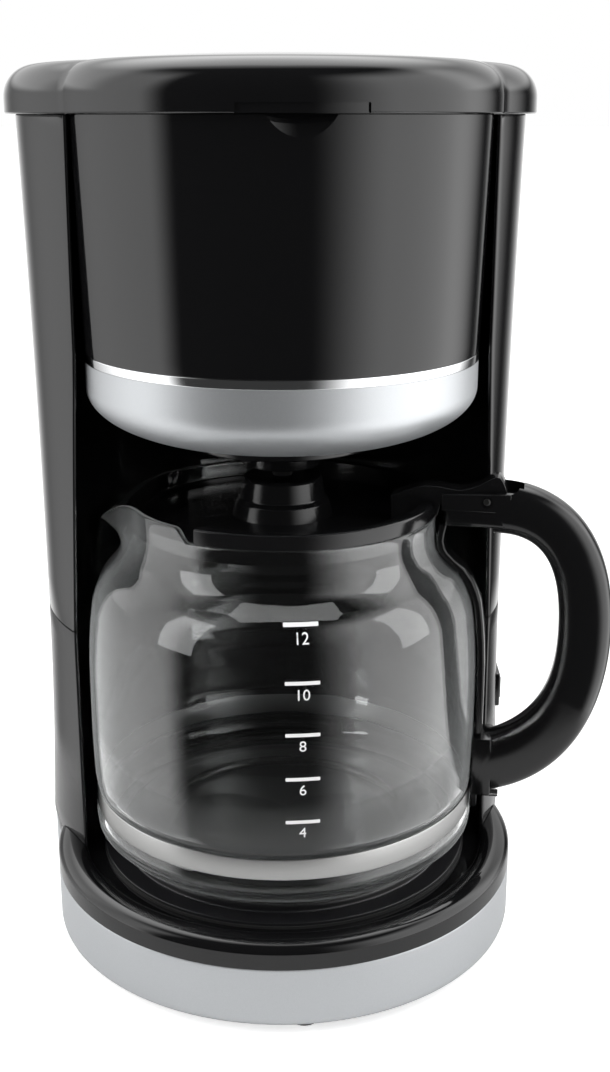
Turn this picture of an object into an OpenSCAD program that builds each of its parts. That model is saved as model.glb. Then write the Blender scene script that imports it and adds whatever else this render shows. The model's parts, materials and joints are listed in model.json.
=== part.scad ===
// Drip coffee maker with a twelve-cup glass carafe.
// The brew axis stands on the floor at x = 0, y = 0 before placed() centres the
// machine; the front is -Y, the carafe handle points to the right and forward.

/* [Base] */
// Radius of the round base about the brew axis
base_r = 93.4; // [88:0.1:100]
// Height of the rubber feet below the base
foot_h = 3.5; // [2:0.5:6]
// Radius of each rubber foot
foot_r = 6.5; // [5:0.5:8]
// Height of the seam between silver skirt and black deck
skirt_top_z = 27.6; // [26:0.1:34]
// Wall thickness of the base mouldings
base_wall = 2.5; // [1.5:0.1:4]
// Rounding of the skirt's bottom edge
skirt_round = 3; // [1:0.5:5]
// Height of the rounded crest round the hot plate above the seam
crest_h = 9.9; // [8:0.1:13]
// Width of the crest ring between the base's edge and the groove
crest_w = 12.4; // [10:0.1:14]

/* [Hot plate] */
// Radius of the raised flat top of the hot plate
plate_r = 64; // [58:0.5:66]
// Radius of the hot plate's flange
plate_flange_r = 74; // [72:0.5:77]
// Sheet thickness of the hot plate
plate_t = 1.6; // [1:0.1:3]
// Height of the plate's top above the crest of the ring
plate_over_crest = 0.4; // [0.2:0.1:2]
// Radius of the heater loop's centre line
heater_loop_r = 44; // [36:1:52]
// Radius of the heater tube's cross-section
heater_tube_r = 4.5; // [3.5:0.1:5.5]

/* [Rear body] */
// Distance of the rear body's plan centre behind the brew axis
rear_cy = 41; // [38:0.5:44]
// How far the rear body's radius exceeds the base's at the lid
rear_top_step = 4.5; // [1:0.1:8]
// How far the rear body's radius exceeds the base's at its waist
rear_waist_step = 1.8; // [0:0.1:4]
// How far the rear body's radius exceeds the base's at the deck
rear_low_step = 4.2; // [1:0.1:6]
// Height of the parting line between lower column and upper housing
parting_z = 127; // [110:1:150]
// Distance of the flat back behind the brew axis
back_y = 116; // [112:0.5:124]
// Radius of the two rounded back corners
back_corner_r = 34; // [20:1:45]
// Wall thickness of the tall mouldings
wall = 2.4; // [1.8:0.1:3.5]

/* [Carafe bay] */
// How much smaller the bay's radius is than the base's in its lower part
bay_inset = 11.9; // [10:0.1:13]
// How far below the parting line the bay starts to narrow
bay_taper_drop = 3; // [0:0.5:15]
// Clearance between the drum and the bay round it
drum_gap = 0.8; // [0.4:0.1:2]

/* [Drum and bowl] */
// Radius of the filter drum at the lid
drum_top_r = 76.8; // [75:0.1:77]
// How much the filter drum narrows down to the chrome band
drum_taper = 2.6; // [1.5:0.1:5]
// Height of the black drum above the chrome band
drum_h = 83.9; // [70:0.1:95]
// Height of the chrome band
band_h = 3.3; // [2:0.1:6]
// Depth of the silver bowl's curve below its straight rim
bowl_curve_h = 19.5; // [16:0.5:24]
// Straight rim of the silver bowl above the curve
bowl_rim_h = 10.1; // [6:0.1:14]
// Radius of the bowl's flat bottom
bowl_flat_r = 34; // [28:0.5:40]
// Radius of the outlet ring under the bowl
outlet_r = 37; // [34:0.5:42]
// Height of the outlet ring below the bowl's bottom
outlet_h = 12.9; // [11:0.1:15]
// Height of the outlet ring's face above the carafe's rim
outlet_over_rim = 17.7; // [17:0.1:24]

/* [Water system] */
// Front limit of the water tank behind the brew axis
tank_front_y = 52; // [50:1:60]
// Height of the water tank's floor above the deck
tank_floor_h = 13.2; // [12:0.2:20]
// Wall thickness of the water tank
tank_wall = 1.8; // [1.4:0.1:2.5]
// Outer radius of the riser pipe
riser_r = 4.5; // [3.5:0.1:5.5]
// Distance of the riser pipe in front of the flat back
riser_inset = 18; // [17:0.5:20]
// Outer radius of the silicone hoses
hose_r = 5; // [4:0.1:6]
// Outer radius of the check valve
valve_r = 8; // [7:0.1:9]
// Radius of the check valve's ball
ball_r = 4; // [3:0.1:4.4]
// Sideways distance of the tank outlet from the middle
valve_x = -34; // [-38:0.5:-28]

/* [Filter basket] */
// Clearance between the basket's rim and the drum's wall
basket_gap = 1.2; // [0.8:0.1:1.6]
// Width of the basket's rim
basket_rim_w = 4.1; // [4:0.1:10]
// How much the basket narrows from its rim to its floor
basket_taper = 22.5; // [16:0.5:28]
// Depth of the basket's rim below the housing's top edge
basket_rim_drop = 22; // [22:0.5:30]
// Height of the basket's floor above the bowl's bottom
basket_floor_h = 9.8; // [9:0.1:14]
// Wall thickness of the basket
basket_wall = 1.6; // [1.2:0.1:2.2]
// Travel of the drip stop
drip_travel = 3; // [2:0.1:3.2]
// Radius of the drip stop's stem
stem_r = 2.6; // [2:0.1:3]

/* [Brew lid] */
// Seam between the lid and the drum
lid_gap = 0.5; // [0.3:0.1:1]
// Straight side of the lid above its lower edge
lid_side_h = 5.5; // [4:0.1:8]
// Rounding of the lid's upper edge
lid_round = 12; // [9:0.1:14]
// Rise of the crown from the rounded edge to the middle
lid_crown_h = 2.8; // [1.5:0.1:5]
// Overhang of the lid over the drum and the rear body
lid_overhang = 4; // [2:0.1:6]
// Wall thickness of the lid
lid_wall = 2.2; // [1.6:0.1:3]
// Width of the thumb recess in the lid's front edge
thumb_w = 37; // [30:1:44]
// Radius of the lid's hinge pin
hinge_pin_r = 1.5; // [1.2:0.1:2]
// Radius of the lid's hinge knuckles
knuckle_r = 4; // [3.5:0.1:5]

/* [Switch] */
// Height of the rocker switch on the right side
switch_z = 84; // [75:1:95]
// Height of the switch bezel
switch_h = 15; // [13:0.5:16]
// Width of the switch bezel
switch_w = 21; // [19:0.5:22]
// Turn of the switch about the rear body's plan centre
switch_angle = -7; // [-10:0.5:-5]

/* [Carafe] */
// Gap between the carafe's glass and the bay behind it
carafe_gap = 4; // [3:0.1:8]
// Radius of the carafe's neck
neck_r = 60; // [54:0.1:62]
// Height of the glass rim above the hot plate
glass_h = 135.4; // [130:0.1:136]
// Thickness of the glass
glass_t = 2.2; // [1.6:0.1:3]
// Height of the steel band above the hot plate
steel_z = 15.6; // [13:0.1:20]
// Width of the steel band
steel_w = 8.3; // [6:0.1:12]
// Thickness of the steel band
steel_t = 0.8; // [0.5:0.1:1.2]
// Direction of the carafe handle, from +X towards the front
handle_angle = -16; // [-20:0.5:-15]
// Reach of the handle's grip from the carafe's axis
handle_reach = 130.6; // [120:0.1:140]
// Width of the grip
grip_w = 20; // [16:0.5:22]
// Width of the handle where it meets the carafe
arm_w = 16; // [14:0.5:17]
// Distance of the carafe lid's hinge from the axis, beyond the drum's radius
hinge_past_drum = 2.2; // [1:0.1:4]
// Height of the thumb tab above the hinge
tab_h = 13.5; // [8:0.5:14]
// Radial thickness of the grip
grip_t = 20.2; // [16:0.1:23]
// Half angle of the gap that the lid's skirt leaves at the spout
spout_gap = 69; // [45:1:72]
// How far the spout's tip reaches beyond the neck
spout_out = 13.5; // [10:0.5:16]
// Height to which the glass rises beside the spout
spout_rise = 5; // [2:0.5:5.5]
// Depth to which the spout's tip dips below the neck's rim
spout_dip = 6.5; // [4:0.5:9]

/* [Hidden] */
$fn = 96;
fit_gap = 0.3;
eps = 0.01;

black = [0.06, 0.06, 0.065];
silver = [0.72, 0.73, 0.75];
steel = [0.78, 0.78, 0.76];
rubber_grey = [0.2, 0.2, 0.2];
white_plastic = [0.85, 0.85, 0.82];

// Heights that follow from one another, from the floor up
deck_drop = 3.7;
crescent_tip_y = -19.5;
groove_drop = 1.4;
hose_rise = 13.8;
hose_drop = 12;
hose_lead = 20;
base_bottom_z = foot_h;
crest_z = skirt_top_z + crest_h;
deck_z = crest_z - deck_drop;
deck_t = base_wall;
groove_z = deck_z - groove_drop;
plate_z = crest_z + plate_over_crest;
carafe_z = plate_z + fit_gap;
rim_z = carafe_z + glass_h;
outlet_z = rim_z + outlet_over_rim;
bowl_bottom_z = outlet_z + outlet_h;
bowl_curve_z = bowl_bottom_z + bowl_curve_h;
band_z = bowl_curve_z + bowl_rim_h;
band_top_z = band_z + band_h;
housing_top_z = band_top_z + drum_h;
bay_taper_z = parting_z - bay_taper_drop;
tank_floor_z = deck_z + tank_floor_h;
riser_top_z = housing_top_z - 12;
basket_rim_z = housing_top_z - basket_rim_drop;
basket_floor_z = bowl_bottom_z + basket_floor_h;
lid_z = housing_top_z + lid_gap;

// Radii that follow from the drum and the base
drum_low_r = drum_top_r - drum_taper;
basket_rim_r = drum_low_r - wall - basket_gap;
basket_top_r = basket_rim_r - basket_rim_w;
basket_floor_r = basket_top_r - basket_taper;
bay_top_r = drum_top_r + drum_gap;
bay_low_r = base_r - bay_inset;
hinge_s = drum_top_r + hinge_past_drum;
// The upper housing's tips end short of the carafe's handle
upper_tip_y = (hinge_s + 5) * sin(handle_angle) + arm_w / 2 * cos(handle_angle) + 3 * fit_gap;
crest_r = base_r - crest_w / 2;
ring_inner_r = base_r - crest_w;

// Radii and distances of the rear body
rear_top_r = base_r + rear_top_step;
rear_waist_r = base_r + rear_waist_step;
rear_low_r = base_r + rear_low_step;
skirt_rear_r = rear_low_r - 0.6;
riser_y = back_y - riser_inset;
notch_w = 2 * (riser_r + 1.2);
lid_top_z = lid_z + lid_side_h + lid_round + lid_crown_h;
lid_front_r = drum_top_r + lid_overhang;
lid_rear_r = rear_top_r + lid_overhang;
hinge_y = back_y - 1;
hinge_z = housing_top_z - 4;
hinge_half_w = 44;
knuckle_half_w = 30;
knuckle_gap = 0.4;

// The handle's outermost corner sets the machine's right-hand reach
corner_share = 0.335;
reach_x = handle_reach * cos(handle_angle) - corner_share * grip_w / 2 * sin(handle_angle);
mid_x = (reach_x - lid_rear_r) / 2;
mid_y = (hinge_y + knuckle_r - base_r) / 2;

// Feet and the screws beside them: one in front, two at the sides, two behind
foot_places = [[0, -base_r + 11.4], [base_r - 12, 12], [-base_r + 12, 12],
    [58, back_y - 16], [-58, back_y - 16]];
screw_places = [[0, -base_r + 24], [base_r - 26, 22], [-base_r + 26, 22],
    [66, back_y - 32], [-66, back_y - 32]];
boss_r = 4;
screw_r = 1.6;

cord_hole_r = 4.5;
cord_hole_x = 44;
cord_hole_z = 17;

function bezier(p, t) = p[0] * pow(1 - t, 3) + 3 * p[1] * t * pow(1 - t, 2)
    + 3 * p[2] * t * t * (1 - t) + p[3] * pow(t, 3);
function arc(c, r, a0, a1, n = 12) =
    [for (i = [0:n]) let (a = a0 + (a1 - a0) * i / n) c + r * [cos(a), sin(a)]];
function ellipse_arc(c, a, b, a0, a1, n = 20) =
    [for (i = [0:n]) let (t = a0 + (a1 - a0) * i / n) c + [a * cos(t), b * sin(t)]];
function reversed(list) = [for (i = [len(list) - 1:-1:0]) list[i]];

module placed() { translate([-mid_x, -mid_y, 0]) children(); }

// ---- Shapes shared by the tall mouldings ----

riser_tip_y = bay_top_r - 17.6;

// The rear body narrows from the base to its waist and widens again to the lid
function rear_r(z) = z > parting_z
    ? rear_waist_r + (rear_top_r - rear_waist_r) * pow((z - parting_z) / (housing_top_z - parting_z), 2)
    : rear_waist_r + (rear_low_r - rear_waist_r) * pow((parting_z - z) / (parting_z - deck_z), 2);

function bay_r(z) = z < bay_taper_z ? bay_low_r
    : z > band_z ? bay_top_r
    : bay_low_r + (bay_top_r - bay_low_r) * (z - bay_taper_z) / (band_z - bay_taper_z);

// Plan of a rear moulding: a circle cut flat behind, with rounded corners
module rear_plan(r, inset) {
    cy = back_y - back_corner_r;
    cx = sqrt(pow(r - back_corner_r, 2) - pow(cy - rear_cy, 2));
    tangent_y = rear_cy + (cy - rear_cy) * (r - inset) / (r - back_corner_r);
    intersection() {
        translate([0, rear_cy]) circle(r - inset);
        translate([-r, rear_cy - r]) square([2 * r, tangent_y - rear_cy + r]);
    }
    for (side = [-1, 1]) translate([side * cx, cy]) circle(back_corner_r - inset);
    translate([-cx, rear_cy]) square([2 * cx, back_y - inset - rear_cy]);
}

module rear_solid(z0, z1, inset) {
    steps = 8;
    intersection() {
        translate([0, rear_cy, 0]) rotate_extrude()
            polygon(concat([[0, z0]],
                [for (i = [0:steps]) let (z = z0 + (z1 - z0) * i / steps) [rear_r(z) - inset, z]],
                [[0, z1]]));
        translate([0, 0, z0 - 1]) linear_extrude(z1 - z0 + 2) rear_plan(rear_top_r, inset);
    }
}

// The bay is a round hollow about the brew axis, open to the front
module bay_hollow(z0, z1, outset) {
    stops = concat([z0], [for (z = [bay_taper_z, band_z]) if (z > z0 && z < z1) z], [z1]);
    rotate_extrude() polygon(concat([[0, z0]], [for (z = stops) [bay_r(z) + outset, z]], [[0, z1]]));
}

// Crescent round the back of the bay, with its thin front tips trimmed
module crescent(z0, z1, inset, tip_y = crescent_tip_y) {
    difference() {
        rear_solid(z0, z1, inset);
        bay_hollow(z0 - 1, z1 + 1, inset);
        translate([-rear_top_r, tip_y + inset - rear_top_r, z0 - 1])
            cube([2 * rear_top_r, rear_top_r, z1 - z0 + 2]);
    }
}

// ---- Base ----

module base_plan(inset) {
    circle(base_r - inset);
    rear_plan(skirt_rear_r, inset);
}

module at_places(places) { for (p = places) translate([p[0], p[1], 0]) children(); }

module rubber_feet() {
    color(rubber_grey) at_places(foot_places) {
        cylinder(r1 = foot_r - 1, r2 = foot_r, h = foot_h);
        translate([0, 0, foot_h - eps]) cylinder(r = foot_r - 3, h = deck_t);
    }
}

module bottom_cover() {
    plate_z0 = base_bottom_z;
    slot_w = 3;
    slot_l = base_r * 0.43;
    slot_pitch = base_r * 0.086;
    color(black) difference() {
        union() {
            translate([0, 0, plate_z0]) linear_extrude(base_wall)
                base_plan(base_wall + skirt_round + fit_gap);
            at_places(screw_places) translate([0, 0, plate_z0]) cylinder(r = boss_r, h = 5);
        }
        at_places(foot_places) translate([0, 0, plate_z0 - 1]) cylinder(r = foot_r - 3, h = base_wall + 2);
        at_places(screw_places) {
            translate([0, 0, plate_z0 - 1]) cylinder(r = screw_r + 0.2, h = 8);
            translate([0, 0, plate_z0 - eps]) cylinder(r = 3.2, h = 2.3);
        }
        for (i = [-4:4]) translate([i * slot_pitch - slot_w / 2, -slot_l * 0.75, plate_z0 - 1])
            cube([slot_w, slot_l, base_wall + 2]);
    }
}

module cover_screws() {
    color(steel) at_places(screw_places) difference() {
        union() {
            translate([0, 0, base_bottom_z + 0.3]) cylinder(r = 2.9, h = 1.7);
            translate([0, 0, base_bottom_z + 2 - eps]) cylinder(r = screw_r, h = 10);
        }
        translate([0, 0, base_bottom_z + 0.2]) for (a = [0, 90]) rotate([0, 0, a])
            translate([-1.8, -0.35, 0]) cube([3.6, 0.7, 1.1]);
    }
}

// Outer side of the skirt with its rounded lower edge, revolved
module skirt_revolve(r) {
    rotate_extrude() polygon(concat([[0, base_bottom_z]],
        arc([r - skirt_round, base_bottom_z + skirt_round], skirt_round, -90, 0, 6),
        [[r, skirt_top_z], [0, skirt_top_z]]));
}

module base_skirt() {
    color(silver) difference() {
        union() {
            skirt_revolve(base_r);
            intersection() {
                translate([0, rear_cy, 0]) skirt_revolve(skirt_rear_r);
                translate([0, 0, base_bottom_z - 1]) linear_extrude(skirt_top_z)
                    rear_plan(skirt_rear_r, 0);
            }
        }
        translate([0, 0, base_bottom_z + base_wall]) linear_extrude(skirt_top_z) base_plan(base_wall);
        translate([0, 0, base_bottom_z - 1]) linear_extrude(skirt_top_z)
            base_plan(base_wall + skirt_round);
        translate([cord_hole_x, back_y - base_wall - 5, cord_hole_z]) rotate([-90, 0, 0])
            cylinder(r = cord_hole_r, h = base_wall + 10);
    }
}

// Rounded crest round the hot plate with the drip groove inside it
module deck_ring() {
    crest_in = crest_r - ring_inner_r;
    crest_out = base_r - crest_r;
    side_z = crest_z - 4.2;
    outer = concat([[base_r, skirt_top_z]],
        ellipse_arc([crest_r, side_z], crest_out, crest_z - side_z, 0, 90, 10),
        ellipse_arc([crest_r, deck_z], crest_in, crest_z - deck_z, 90, 180, 8),
        [[ring_inner_r, groove_z], [plate_flange_r - 4, groove_z]]);
    inner = [[plate_flange_r - 4, groove_z - deck_t], [ring_inner_r + 2, groove_z - deck_t],
        [ring_inner_r + 2.6, deck_z - 1.2], [crest_r, crest_z - deck_t],
        [base_r - deck_t, side_z - 1], [base_r - deck_t, skirt_top_z]];
    rotate_extrude() polygon(concat(outer, inner));
}

module base_deck() {
    color(black) {
        difference() {
            union() {
                deck_ring();
                difference() {
                    intersection() {
                        translate([0, 0, skirt_top_z]) linear_extrude(deck_z - skirt_top_z)
                            base_plan(0.3);
                        rear_solid(skirt_top_z - 1, deck_z + 1, 0.3);
                    }
                    cylinder(r = ring_inner_r + 2, h = deck_z + 1);
                    translate([0, 0, skirt_top_z - 1]) linear_extrude(deck_z - skirt_top_z + 1 - deck_t)
                        difference() {
                            base_plan(deck_t);
                            circle(ring_inner_r + 4);
                        }
                }
            }
            difference() {
                rear_solid(deck_z, crest_z + 1, -0.2);
                cylinder(r = bay_low_r - 0.2, h = crest_z + 2);
            }
            translate([0, 0, skirt_top_z - 1]) linear_extrude(deck_z - skirt_top_z + 1 - deck_t)
                difference() {
                    intersection() {
                        rear_plan(skirt_rear_r, deck_t);
                        translate([-rear_low_r, 20]) square([2 * rear_low_r, back_y]);
                    }
                    circle(ring_inner_r + 4);
                }
            translate([valve_x, riser_y, 0]) cylinder(r = valve_r + 0.6, h = deck_z + 1);
            translate([0, riser_y, 0]) cylinder(r = hose_r + 1, h = deck_z + 1);
        }
        at_places(screw_places) difference() {
            screw_boss_top = groove_z - deck_t + 0.2;
            translate([0, 0, base_bottom_z + 5.2]) cylinder(r = boss_r, h = screw_boss_top - base_bottom_z - 5.2);
            translate([0, 0, base_bottom_z]) cylinder(r = screw_r + 0.05, h = 14);
        }
    }
}

// ---- Hot plate and boiler ----

plate_side_r = plate_r + 3;
seal_z = groove_z;
seal_t = 1;
flange_z = seal_z + seal_t;

module plate_seal() {
    color(rubber_grey) translate([0, 0, seal_z]) difference() {
        cylinder(r = plate_flange_r + 0.6, h = seal_t);
        translate([0, 0, -1]) cylinder(r = plate_side_r + 2, h = seal_t + 2);
    }
}

module hot_plate() {
    shell = concat([[0, plate_z]],
        arc([plate_r, plate_z - 2.4], 2.4, 90, 0, 6),
        [[plate_r + 2.4, flange_z + plate_t], [plate_flange_r, flange_z + plate_t],
         [plate_flange_r, flange_z], [plate_r + 2.4 - plate_t, flange_z]],
        [[plate_r + 2.4 - plate_t, plate_z - 2.4], [plate_r, plate_z - plate_t], [0, plate_z - plate_t]]);
    color([0.12, 0.12, 0.13]) rotate_extrude() polygon(shell);
}

heater_z = plate_z - plate_t - heater_tube_r - 0.1;
heater_open = 28;
heater_end_l = 22;
heater_end_slope = 25;
heater_end_dir = [0, cos(heater_end_slope), -sin(heater_end_slope)];
heater_end_x = heater_loop_r * sin(heater_open);
heater_end_y = heater_loop_r * cos(heater_open);

// Open loop pressed to the underside of the plate, with two ends towards the back
module heater_tube() {
    color(steel) difference() {
        union() {
            translate([0, 0, heater_z]) rotate([0, 0, 90 + heater_open])
                rotate_extrude(angle = 360 - 2 * heater_open) translate([heater_loop_r, 0])
                    circle(heater_tube_r, $fn = 32);
            for (side = [-1, 1]) translate([side * heater_end_x, heater_end_y, heater_z])
                rotate([-90 - heater_end_slope, 0, 0]) cylinder(r = heater_tube_r - 0.6, h = heater_end_l);
        }
        for (side = [-1, 1]) translate([side * heater_end_x, heater_end_y, heater_z])
            rotate([-90 - heater_end_slope, 0, 0]) translate([0, 0, 5])
                cylinder(r = heater_tube_r - 2, h = heater_end_l);
    }
}

clamp_z = heater_z - heater_tube_r - 0.1;
clamp_half = heater_loop_r + 14;
clamp_w = 18;
clamp_t = 1.5;

module heater_clamp() {
    color([0.6, 0.6, 0.6]) difference() {
        translate([-clamp_half, -clamp_w / 2, clamp_z - clamp_t]) cube([2 * clamp_half, clamp_w, clamp_t]);
        for (side = [-1, 1]) translate([side * (clamp_half - 5), 0, clamp_z - 5])
            cylinder(r = 2.1, h = 8);
    }
}

module clamp_screws() {
    color(steel) for (side = [-1, 1]) translate([side * (clamp_half - 5), 0, clamp_z]) {
        translate([0, 0, -4.2]) cylinder(r = 3.8, h = 2.5, $fn = 6);
        translate([0, 0, -1.8]) cylinder(r = 2, h = plate_z - plate_t - clamp_z + 1.7);
    }
}

module thermostat() {
    color(silver) translate([0, 0, clamp_z - clamp_t - 7.1]) {
        cylinder(r = 8, h = 7);
        for (side = [-1, 1]) translate([side * 5 - 2.5, -0.4, -5]) cube([5, 0.8, 5 + eps]);
    }
}

module thermal_fuses() {
    fuse_x = 0.59 * heater_loop_r;
    fuse_r = 2;
    fuse_l = 13;
    color(white_plastic) for (side = [-1, 1])
        translate([side * fuse_x, -fuse_l / 2, clamp_z - clamp_t - fuse_r - 0.3])
            rotate([-90, 0, 0]) cylinder(r = fuse_r, h = fuse_l);
}

// ---- Tall mouldings ----

module at_switch() {
    translate([0, rear_cy, 0]) rotate([0, 0, switch_angle])
        translate([rear_r(switch_z), 0, switch_z]) children();
}

module lower_column() {
    lap = 3;
    color(black) difference() {
        union() {
            difference() {
                crescent(deck_z, parting_z - fit_gap, 0);
                crescent(deck_z - 1, parting_z + 1, wall);
            }
            difference() {
                crescent(parting_z - 2 * lap, parting_z + lap, wall + 0.1);
                crescent(parting_z - 2 * lap - 1, parting_z + lap + 1, wall + 1.4);
            }
        }
        at_switch() cube([20, switch_w - 1.6, switch_h - 1.6], center = true);
        at_switch() translate([4.4, 0, 0]) cube([10, switch_w + 0.4, switch_h + 0.4], center = true);
    }
}

module hinge_cylinder(r, x0, x1) {
    translate([x0, hinge_y, hinge_z]) rotate([0, 90, 0]) cylinder(r = r, h = x1 - x0);
}

// Slot in the upper edges, through which the riser reaches over the basket
module riser_notch() {
    translate([-notch_w / 2, riser_tip_y, riser_top_z - notch_w / 2]) cube([notch_w, 30, 40]);
}

module upper_housing() {
    lug_w = hinge_half_w - knuckle_half_w - knuckle_gap;
    color(black) difference() {
        union() {
            difference() {
                crescent(parting_z, housing_top_z, 0, upper_tip_y);
                crescent(parting_z - 1, housing_top_z + 1, wall, upper_tip_y);
            }
            // Hinge lugs on the back edge
            for (side = [-1, 1]) hull() {
                x0 = side > 0 ? knuckle_half_w + knuckle_gap : -hinge_half_w;
                hinge_cylinder(knuckle_r, x0, x0 + lug_w);
                translate([x0, back_y - 1.5, hinge_z - 14]) cube([lug_w, 1, 12]);
            }
        }
        hinge_cylinder(knuckle_r + 0.5, -knuckle_half_w, knuckle_half_w);
        translate([-knuckle_half_w, back_y - 9, hinge_z]) cube([2 * knuckle_half_w, 14, 10]);
        hinge_cylinder(hinge_pin_r, -hinge_half_w - 1, hinge_half_w + 1);
        riser_notch();
    }
}

module water_tank() {
    gap = wall + 0.4;
    top_z = housing_top_z - 10;
    color(white_plastic) difference() {
        union() {
            difference() {
                intersection() {
                    crescent(tank_floor_z, top_z, gap + 1.2);
                    translate([-rear_top_r, tank_front_y, 0]) cube([2 * rear_top_r, 100, top_z]);
                }
                intersection() {
                    crescent(tank_floor_z + tank_wall, top_z + 1, gap + 1.2 + tank_wall);
                    translate([-rear_top_r, tank_front_y + tank_wall, 0])
                        cube([2 * rear_top_r, 100, top_z + 1]);
                }
            }
            translate([valve_x, riser_y, tank_floor_z - 6]) cylinder(r = 6, h = 6 + eps);
        }
        translate([valve_x, riser_y, tank_floor_z - 7]) cylinder(r = 4, h = 12);
        translate([0, riser_y, tank_floor_z - 1]) cylinder(r = riser_r + 0.05, h = 5);
        riser_notch();
    }
}

valve_z = tank_floor_z - 6 - 17;
valve_bore_r = ball_r - 1.6;
ball_travel = 2;
ball_seat_h = 2 + sqrt(ball_r * ball_r - valve_bore_r * valve_bore_r) + 0.05;

module check_valve() {
    color(white_plastic) translate([valve_x, riser_y, valve_z]) difference() {
        union() {
            cylinder(r = valve_r, h = 16.8);
            translate([0, 0, -4]) cylinder(r = hose_r - 1.4, h = 4 + eps);
        }
        translate([0, 0, 2]) cylinder(r = ball_r + 0.8, h = ball_seat_h - 2 + ball_r + ball_travel + 0.4);
        translate([0, 0, -5]) cylinder(r = valve_bore_r, h = 12);
        translate([0, 0, 10]) cylinder(r = ball_r - 1, h = 8);
    }
}

module check_ball() {
    color(steel) translate([valve_x, riser_y, valve_z + ball_seat_h]) sphere(ball_r, $fn = 48);
}

hose_end = [heater_end_x, heater_end_y, heater_z] + (heater_end_l + 0.3) * heater_end_dir;

// Swept silicone hose: rings of points along a smooth route
hose_sides = 10;
hose_rings = 14;
function hose_dir(p, t) = let (d = bezier(p, min(1, t + 0.01)) - bezier(p, max(0, t - 0.01))) d / norm(d);
module hose(p, r) {
    pts = [for (i = [0:hose_rings]) let (t = i / hose_rings, d = hose_dir(p, t),
            u = cross(d, [1, 0.2, 0]) / norm(cross(d, [1, 0.2, 0])), v = cross(d, u))
        for (k = [0:hose_sides - 1]) bezier(p, t) + r * (u * cos(360 * k / hose_sides)
            + v * sin(360 * k / hose_sides))];
    faces = concat([[for (k = [0:hose_sides - 1]) k]],
        [for (i = [0:hose_rings - 1]) for (k = [0:hose_sides - 1])
            [i * hose_sides + k, (i + 1) * hose_sides + k,
             (i + 1) * hose_sides + (k + 1) % hose_sides, i * hose_sides + (k + 1) % hose_sides]],
        [[for (k = [hose_sides - 1:-1:0]) hose_rings * hose_sides + k]]);
    polyhedron(pts, faces);
}

module inlet_hose() {
    start = [valve_x, riser_y, valve_z - 4.4];
    end = [-hose_end[0], hose_end[1], hose_end[2]];
    color(rubber_grey) hose([start, start - [0, 0, hose_drop], end + hose_lead * heater_end_dir, end], hose_r - 0.6);
}

module outlet_hose() {
    start = [0, riser_y, riser_low_z - 0.4];
    color(rubber_grey) hose([start, start - [0, 0, hose_drop], hose_end + hose_lead * heater_end_dir, hose_end],
        hose_r - 0.6);
}

riser_low_z = deck_z - hose_rise;

// Pipe that carries hot water from the heater up to the lid's shower
module riser_pipe() {
    bend_r = 9;
    tip_y = riser_tip_y;
    color(white_plastic) difference() {
        union() {
            translate([0, riser_y, riser_low_z])
                cylinder(r = riser_r, h = riser_top_z - riser_low_z - bend_r);
            translate([0, riser_y - bend_r, riser_top_z - bend_r]) rotate([90, 0, 90])
                rotate_extrude(angle = 90) translate([bend_r, 0]) circle(riser_r, $fn = 32);
            translate([0, tip_y, riser_top_z]) rotate([-90, 0, 0])
                cylinder(r = riser_r, h = riser_y - bend_r - tip_y);
            translate([0, tip_y, riser_top_z]) sphere(riser_r, $fn = 48);
        }
        translate([0, riser_y, riser_low_z - 1])
            cylinder(r = riser_r - 1.4, h = riser_top_z - riser_low_z - 6);
        translate([0, tip_y, riser_top_z]) rotate([-90, 0, 0])
            cylinder(r = riser_r - 1.4, h = riser_y - 6 - tip_y);
        translate([0, tip_y, riser_top_z]) cylinder(r = riser_r - 2, h = 8);
    }
}

// ---- Switch ----

module switch_bezel() {
    color(black) at_switch() difference() {
        union() {
            translate([0.3, 0, 0]) cube([1.6, switch_w, switch_h], center = true);
            translate([-2.5, 0, 0]) cube([5, switch_w - 2, switch_h - 2], center = true);
        }
        cube([14, switch_w - 5, switch_h - 5], center = true);
    }
}

module switch_body() {
    color([0.15, 0.15, 0.15]) at_switch() {
        translate([-7.6, 0, 0]) cube([4.8, switch_w - 3, switch_h - 3], center = true);
        for (k = [-1:1]) translate([-11.4, 5 * k, 0]) cube([3, 0.8, 4.8], center = true);
    }
}

rocker_pivot = -3.4;
rocker_tilt = 5;

// The rocker rests pressed in at one end
module rocker() {
    half_l = (switch_w - 5) / 2 - 0.8;
    h = switch_h - 5.8;
    color([0.1, 0.1, 0.1]) at_switch() translate([rocker_pivot, 0, 0]) rotate([0, 0, rocker_tilt])
        linear_extrude(h, center = true) polygon([[-0.8, 0], [0.1, -half_l], [4.6, -half_l],
            [4.0, 0], [4.6, half_l], [0.1, half_l]]);
}

// ---- Drum, band, bowl ----

function drum_r(z) = drum_low_r + (drum_top_r - drum_low_r) * (z - band_top_z) / (housing_top_z - band_top_z);

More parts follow.
